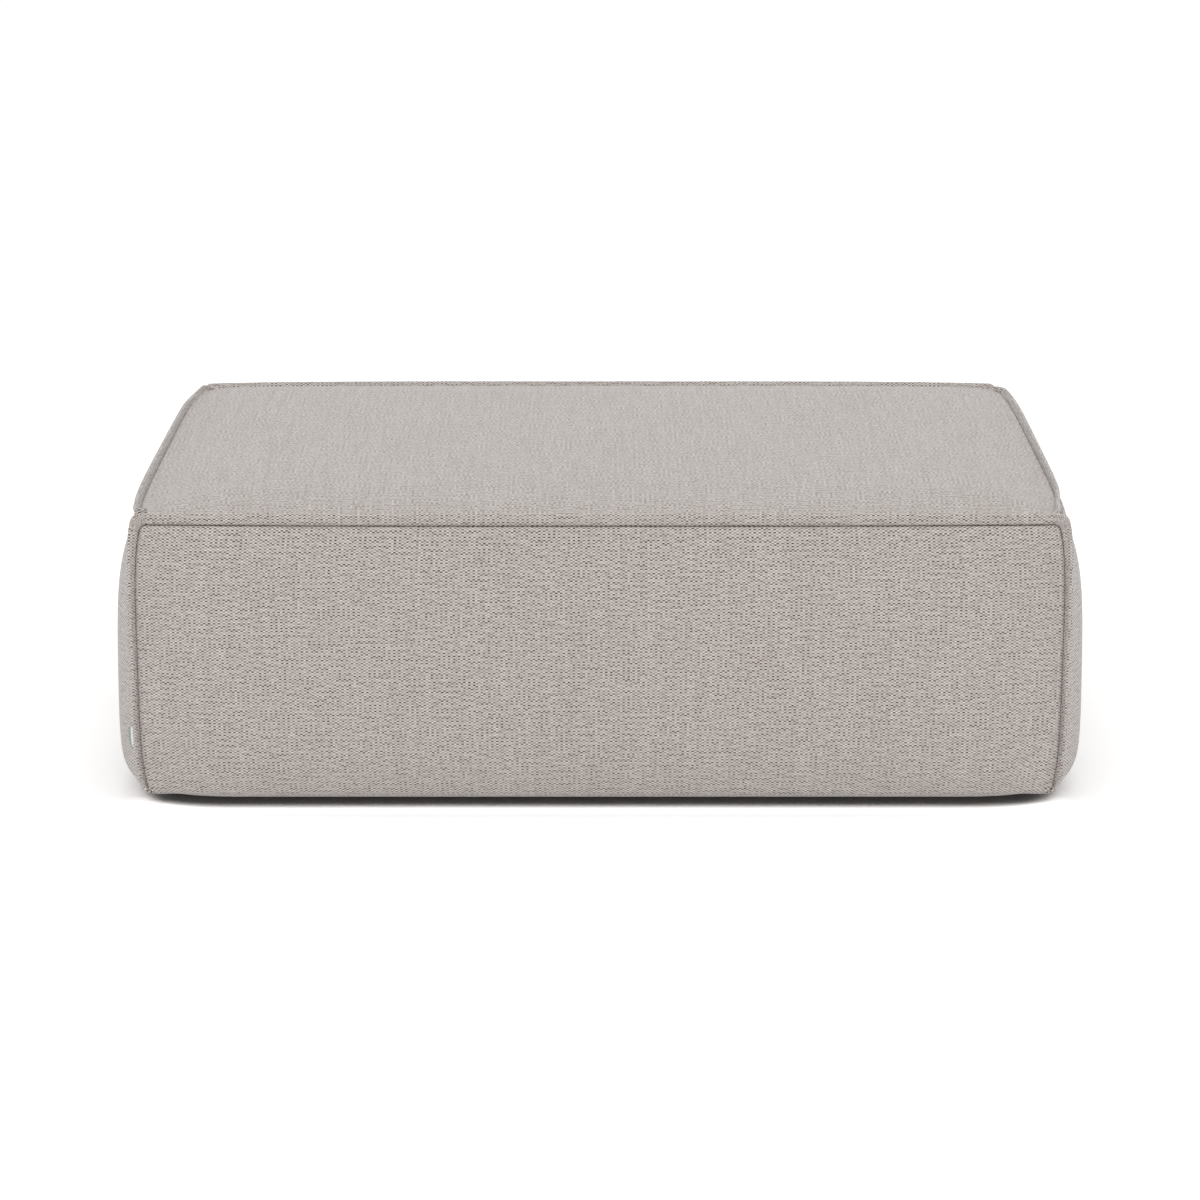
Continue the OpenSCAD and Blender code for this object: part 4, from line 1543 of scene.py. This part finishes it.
def make_stitches(name: str, line: np.ndarray, cover: Cover) -> bpy.types.Object:
    """Lay a line of stitches along a seam.

    Args:
        name: The piece's name.
        line: Points of the seam line.
        cover: The cover, for the size of its stitches.

    Returns:
        The piece.
    """
    mesh = bpy.data.meshes.new(name)
    mesh.from_pydata(line.tolist(), [(i, i + 1) for i in range(len(line) - 1)], [])
    guide = add_object(name + "_line", mesh)
    tree = bpy.data.node_groups.get("lockstitch_line") or stitch_tree()
    modifier = guide.modifiers.new("stitches", "NODES")
    modifier.node_group = tree
    values = {"Pitch": cover.stitch_pitch, "Length": cover.stitch_length, "Thickness": cover.stitch_d,
              "Seed": len(bpy.data.meshes), "Thread": THREAD_AND_GROOVE_SHADE.material()}
    for item in tree.interface.items_tree:
        if item.item_type == "SOCKET" and item.in_out == "INPUT" and item.name in values:
            modifier[item.identifier] = values[item.name]
    graph = bpy.context.evaluated_depsgraph_get()
    real = bpy.data.meshes.new_from_object(guide.evaluated_get(graph))
    real.name = name
    bpy.data.objects.remove(guide)
    bpy.data.meshes.remove(mesh)
    log.info("%s: %d faces", name, len(real.polygons))
    piece = add_object(name, real)
    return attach(piece, BODY)


@dataclass
class Padding:
    """The foam and the wadding under the cover."""

    shape: Shape
    fill: float = 0.8
    cell: float = 14 * MM
    depth: float = 4.8 * MM
    wadding_t: float = 4 * MM
    wadding_gap: float = 0.5 * MM
    edge: float = 8 * MM
    edge_segments: int = 3
    pad_t: float = 30 * MM
    pad_rows: int = 24
    turn_rows: int = 4
    most_u: float = 0.99
    most_v: float = 0.985

    def build(self) -> None:
        """Build every soft inner piece."""
        for side in Side:
            self._side_pad(side)
        self._top_layers()
        self._seat_foam()

    def _block(self, name: str, outer: np.ndarray, inner: np.ndarray, finish: Finish, node: str) -> None:
        """Args:
            name: The piece's name.
            outer: The outer grid.
            inner: The inner grid.
            finish: Its finish.
            node: The CAD node that it stands for.
        """
        points, faces = closed_between(outer, inner)
        declare(make_piece(name, points, faces, finish), node)

    def _side_pad(self, side: Side) -> None:
        """Build the pad between a side panel and its board, no larger than its node.

        Args:
            side: The side.
        """
        form = self.shape.form
        half, away = form.halves(side)
        node = f"pad_{side.title}"
        low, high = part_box(node)
        reach = (high.x - low.x if side.long else high.y - low.y) / 2
        places = seam_places(2 * reach, form.swell_reach, self.cell, 0.0) - reach
        walls = (form.seam_h - np.linspace(high.z, form.roll_z, self.pad_rows)) / form.wall_h
        panel = self.shape.side_panel(side, places / half, Rows.down(walls, self.turn_rows, 1))
        # The row under the frame gives the normals at the foot, and isn't part of the pad
        outer = (panel.points - self.depth * normals_of(panel.points))[:-1]
        outer[..., 2] = np.clip(outer[..., 2], low.z, high.z)
        inner = outer.copy()
        inner[..., 1] = self.pad_t - away
        self._block(f"{side.title}_foam_pad", side.turn(outer), side.turn(inner), FOAM, node)

    def _top_grid(self, node: str, depth: float) -> np.ndarray:
        """Give the top panel's surface a depth down, within a node's plan.

        Args:
            node: The CAD node.
            depth: How far under the top panel.

        Returns:
            The grid of points.
        """
        form = self.shape.form
        low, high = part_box(node)
        u = (seam_places(high.x - low.x, form.swell_reach, self.cell, 0.0) + low.x) / form.half_w
        v = (seam_places(high.y - low.y, form.swell_reach, self.cell, 0.0) + low.y) / form.half_d
        panel = self.shape.top_panel(np.clip(u, -self.most_u, self.most_u),
                                     np.clip(v[::-1], -self.most_v, self.most_v))
        return panel.points - np.array([0, 0, depth])

    def _top_layers(self) -> None:
        """Build the crowned foam and the wadding over it."""
        skin = self._top_grid("top_wadding", self.depth)
        under = skin - np.array([0, 0, self.wadding_t])
        self._block("top_wadding_layer", skin, under, WADDING, "top_wadding")
        crown = self._top_grid("top_foam", self.depth + self.wadding_t + self.wadding_gap)
        base = crown.copy()
        base[..., 2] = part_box("top_foam")[0].z
        self._block("crowned_top_foam", crown, base, FOAM, "top_foam")

    def _seat_foam(self) -> None:
        """Build the seat foam as a cut block with softened edges."""
        low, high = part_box("seat_foam")
        work = bmesh.new()
        bmesh.ops.create_cube(work, size=1.0)
        for vert in work.verts:
            for i in range(3):
                vert.co[i] = mix(low[i], high[i], vert.co[i] + 0.5)
        bmesh.ops.bevel(work, geom=work.edges[:], offset=self.edge, segments=self.edge_segments,
                        affect="EDGES", profile=0.5)
        mesh = bpy.data.meshes.new("seat_foam_block")
        work.to_mesh(mesh)
        work.free()
        mesh.shade_smooth()
        mesh.materials.append(FOAM.material())
        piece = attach(add_object("seat_foam_block", mesh), BODY)
        declare(piece, "seat_foam")


@dataclass
class Underside:
    """The dust cloth under the frame."""

    cell: float = 12 * MM
    thickness: float = 0.6 * MM
    sag: float = 4 * MM
    wrinkle: float = 0.7 * MM
    wrinkles: int = 5
    wrinkle_mm: tuple = (60, 180)
    held_edge: float = 95 * MM
    held_middle: float = 30 * MM
    free_reach: float = 120 * MM
    seed: int = 7

    def build(self) -> None:
        """Build the dust cloth, stapled round its edge and hanging slightly between the rails."""
        low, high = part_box("dust_cloth")
        width, length = high.x - low.x, high.y - low.y
        x = np.linspace(low.x, high.x, round(width / self.cell) + 1)[None, :]
        y = np.linspace(high.y, low.y, round(length / self.cell) + 1)[:, None]
        inside = np.minimum(width / 2 - np.abs(x), length / 2 - np.abs(y))
        free = (ease((inside - self.held_edge) / self.free_reach)
                * ease((np.abs(x) - self.held_middle) / self.free_reach))
        dice = np.random.default_rng(self.seed)
        waves = np.zeros_like(free)
        for _ in range(self.wrinkles):
            turn, reach = dice.uniform(0, np.pi), dice.uniform(*self.wrinkle_mm) * MM
            along = x * math.cos(turn) + y * math.sin(turn)
            waves += np.sin(2 * np.pi * along / reach + dice.uniform(0, 6))
        lower = low.z - free * self.sag - self.wrinkle * free * waves / 2
        grid = np.stack([x + 0 * y, y + 0 * x, lower + self.thickness], -1)
        points, faces = closed_between(grid, grid - np.array([0, 0, self.thickness]))
        piece = make_piece("stapled_dust_cloth", points, faces, DUST_CLOTH)
        declare(piece, "dust_cloth")


class Hardware:
    """Timber, boards, webbing, glides and fasteners, whose solids stay as they are."""

    @staticmethod
    def dress() -> None:
        """Give each node that stays its finish."""
        for part in frame["record"]["subparts"]:
            node = frame["nodes"][part["node"]]
            if node.hide_render:
                continue
            slot = part["material_slot"]
            finish = pine(part["node"]) if slot == "timber" else NODE_FINISHES[slot]
            node.data.materials.clear()
            node.data.materials.append(finish.material())
            log.info("%s: %s", part["node"], finish.name)


@dataclass
class Studio:
    """A pale floor, an even sky, one soft light from above and the camera."""

    lens: float = 111.4
    sensor: float = 36.0
    view_end: float = 200.0
    distance: float = 4.712
    height: float = 1.434
    pitch: float = 15.2
    sky: float = 0.84
    light_power: float = 42.0
    light_size: float = 6.0
    light_z: float = 2.6
    floor_size: float = 60.0
    # Colour of the floor for light that bounces onto the object: above white, so the floor gives back more
    # than falls on it, which is painted light from below.
    painted_bounce_light: float = 1.1
    floor_white: float = 1.21
    # These paint shade and light into the floor's colour near the object: painted contact shade under and
    # beside it, painted light just before its front edge.
    contact_reach: float = 30 * MM
    contact_samples: int = 16
    contact_from: float = 0.215
    contact_to: float = 0.37
    contact_open: float = 0.9
    contact_low: float = 0.25
    contact_peak: float = 1.9
    contact_rest: float = 1.1
    front_from: float = -355 * MM
    front_to: float = -390 * MM

    def build(self) -> None:
        """Build the floor, the sky, the light and the camera."""
        self._floor()
        self._sky()
        self._light()
        self._camera()

    @staticmethod
    def _seen(tree: bpy.types.NodeTree) -> bpy.types.NodeSocket:
        """Give 1 where the camera, a reflection or glass sees a surface.

        Args:
            tree: The node tree.

        Returns:
            The socket that holds it.
        """
        path = add_node(tree, "ShaderNodeLightPath").node
        seen = path.outputs["Is Camera Ray"]
        for name in ("Is Glossy Ray", "Is Transmission Ray"):
            seen = add_node(tree, "ShaderNodeMath", [seen, path.outputs[name]], operation="MAXIMUM")
        return seen

    def _painted_contact_shade(self, tree: bpy.types.NodeTree) -> bpy.types.NodeSocket:
        """Paint shade and light into the floor's colour near the object, from how much the object hides it.

        This painted shade makes the narrow gap under the front edge darker than an even sky makes it, and
        painted light clears it sooner before the edge. Beside and behind the object it only darkens.

        Args:
            tree: The floor material's node tree.

        Returns:
            The painted shade: 1 where the floor is left as it is, less where it is painted darker, more
                where painted light makes it lighter.
        """
        near = add_node(tree, "ShaderNodeAmbientOcclusion", {"Distance": self.contact_reach}, output=1,
                        samples=self.contact_samples)
        rise = add_node(tree, "ShaderNodeMapRange",
                        [near, self.contact_from, self.contact_to, self.contact_low, self.contact_peak],
                        interpolation_type="SMOOTHSTEP")
        settle = add_node(tree, "ShaderNodeMapRange",
                          [near, self.contact_to, self.contact_open, 1.0,
                           self.contact_rest / self.contact_peak])
        shade = add_node(tree, "ShaderNodeMath", [rise, settle], operation="MULTIPLY")
        place = add_node(tree, "ShaderNodeTexCoord", output=3)
        depth = add_node(tree, "ShaderNodeSeparateXYZ", [place], output=1)
        ahead = add_node(tree, "ShaderNodeMapRange", [depth, self.front_from, self.front_to])
        most = add_node(tree, "ShaderNodeMath", [shade, 1.0], operation="MAXIMUM")
        least = add_node(tree, "ShaderNodeMath", [shade, 1.0], operation="MINIMUM")
        clear = add_node(tree, "ShaderNodeMath", [most, 1.0], operation="SUBTRACT")
        return add_node(tree, "ShaderNodeMath", [clear, ahead, least], operation="MULTIPLY_ADD")

    def _floor(self) -> None:
        """Make the floor: white to the camera, with the object's shadow and a painted contact shade, and an
        even bounce brighter than white, which is painted light.
        """
        half = self.floor_size / 2
        corners = np.array([(-half, -half, 0), (half, -half, 0), (half, half, 0), (-half, half, 0)])
        mesh = make_mesh("floor", corners, [(0, 1, 2, 3)])
        material = bpy.data.materials.new("painted_studio_floor")
        tree = empty_tree(material)
        shade = self._painted_contact_shade(tree)
        # The floor's colour for the camera: white times the painted contact shade and painted light.
        white = add_node(tree, "ShaderNodeMath", [shade, self.floor_white], operation="MULTIPLY")
        # Light that bounces off the floor gets a colour above white: painted light on the object from below.
        colour = add_node(tree, "ShaderNodeMix",
                          {0: self._seen(tree), 6: (self.painted_bounce_light,) * 3 + (1.0,), 7: white},
                          output=2, data_type="RGBA")
        shader = add_node(tree, "ShaderNodeBsdfDiffuse", {"Color": colour})
        add_node(tree, "ShaderNodeOutputMaterial", {"Surface": shader})
        mesh.materials.append(material)
        add_object("floor", mesh)

    def _sky(self) -> None:
        """Light the object evenly from all round, and show white to the camera."""
        world = bpy.data.worlds.new("even_sky")
        tree = empty_tree(world)
        strength = add_node(tree, "ShaderNodeMix", {0: self._seen(tree), 2: self.sky, 3: 1.0})
        sky = add_node(tree, "ShaderNodeBackground", {"Color": (1, 1, 1, 1), "Strength": strength})
        add_node(tree, "ShaderNodeOutputWorld", {"Surface": sky})
        bpy.context.scene.world = world

    def _light(self) -> None:
        """Hang one large soft light over the object."""
        data = bpy.data.lights.new("overhead", "AREA")
        data.size = self.light_size
        data.energy = self.light_power
        add_object("overhead", data).location = (0, 0, self.light_z)

    def _camera(self) -> None:
        """Stand the camera where the photograph was taken from."""
        data = bpy.data.cameras.new("camera")
        data.lens = self.lens
        data.sensor_width = self.sensor
        data.clip_end = self.view_end
        camera = add_object("camera", data)
        camera.location = (0, -self.distance, self.height)
        camera.rotation_euler = (math.radians(90 - self.pitch), 0, 0)
        bpy.context.scene.camera = camera


def main() -> None:
    """Build the ottoman's looks in order."""
    logging.basicConfig(level=logging.INFO, format="%(name)s: %(message)s")
    view = bpy.context.scene.view_settings
    view.view_transform = "Standard"
    Studio().build()
    shape = Shape(Form())
    filling = Filling(shape)
    filling.simulate()
    Cover(shape, filling).build()
    Padding(shape).build()
    Underside().build()
    Hardware.dress()


if __name__ == "__main__":
    main()
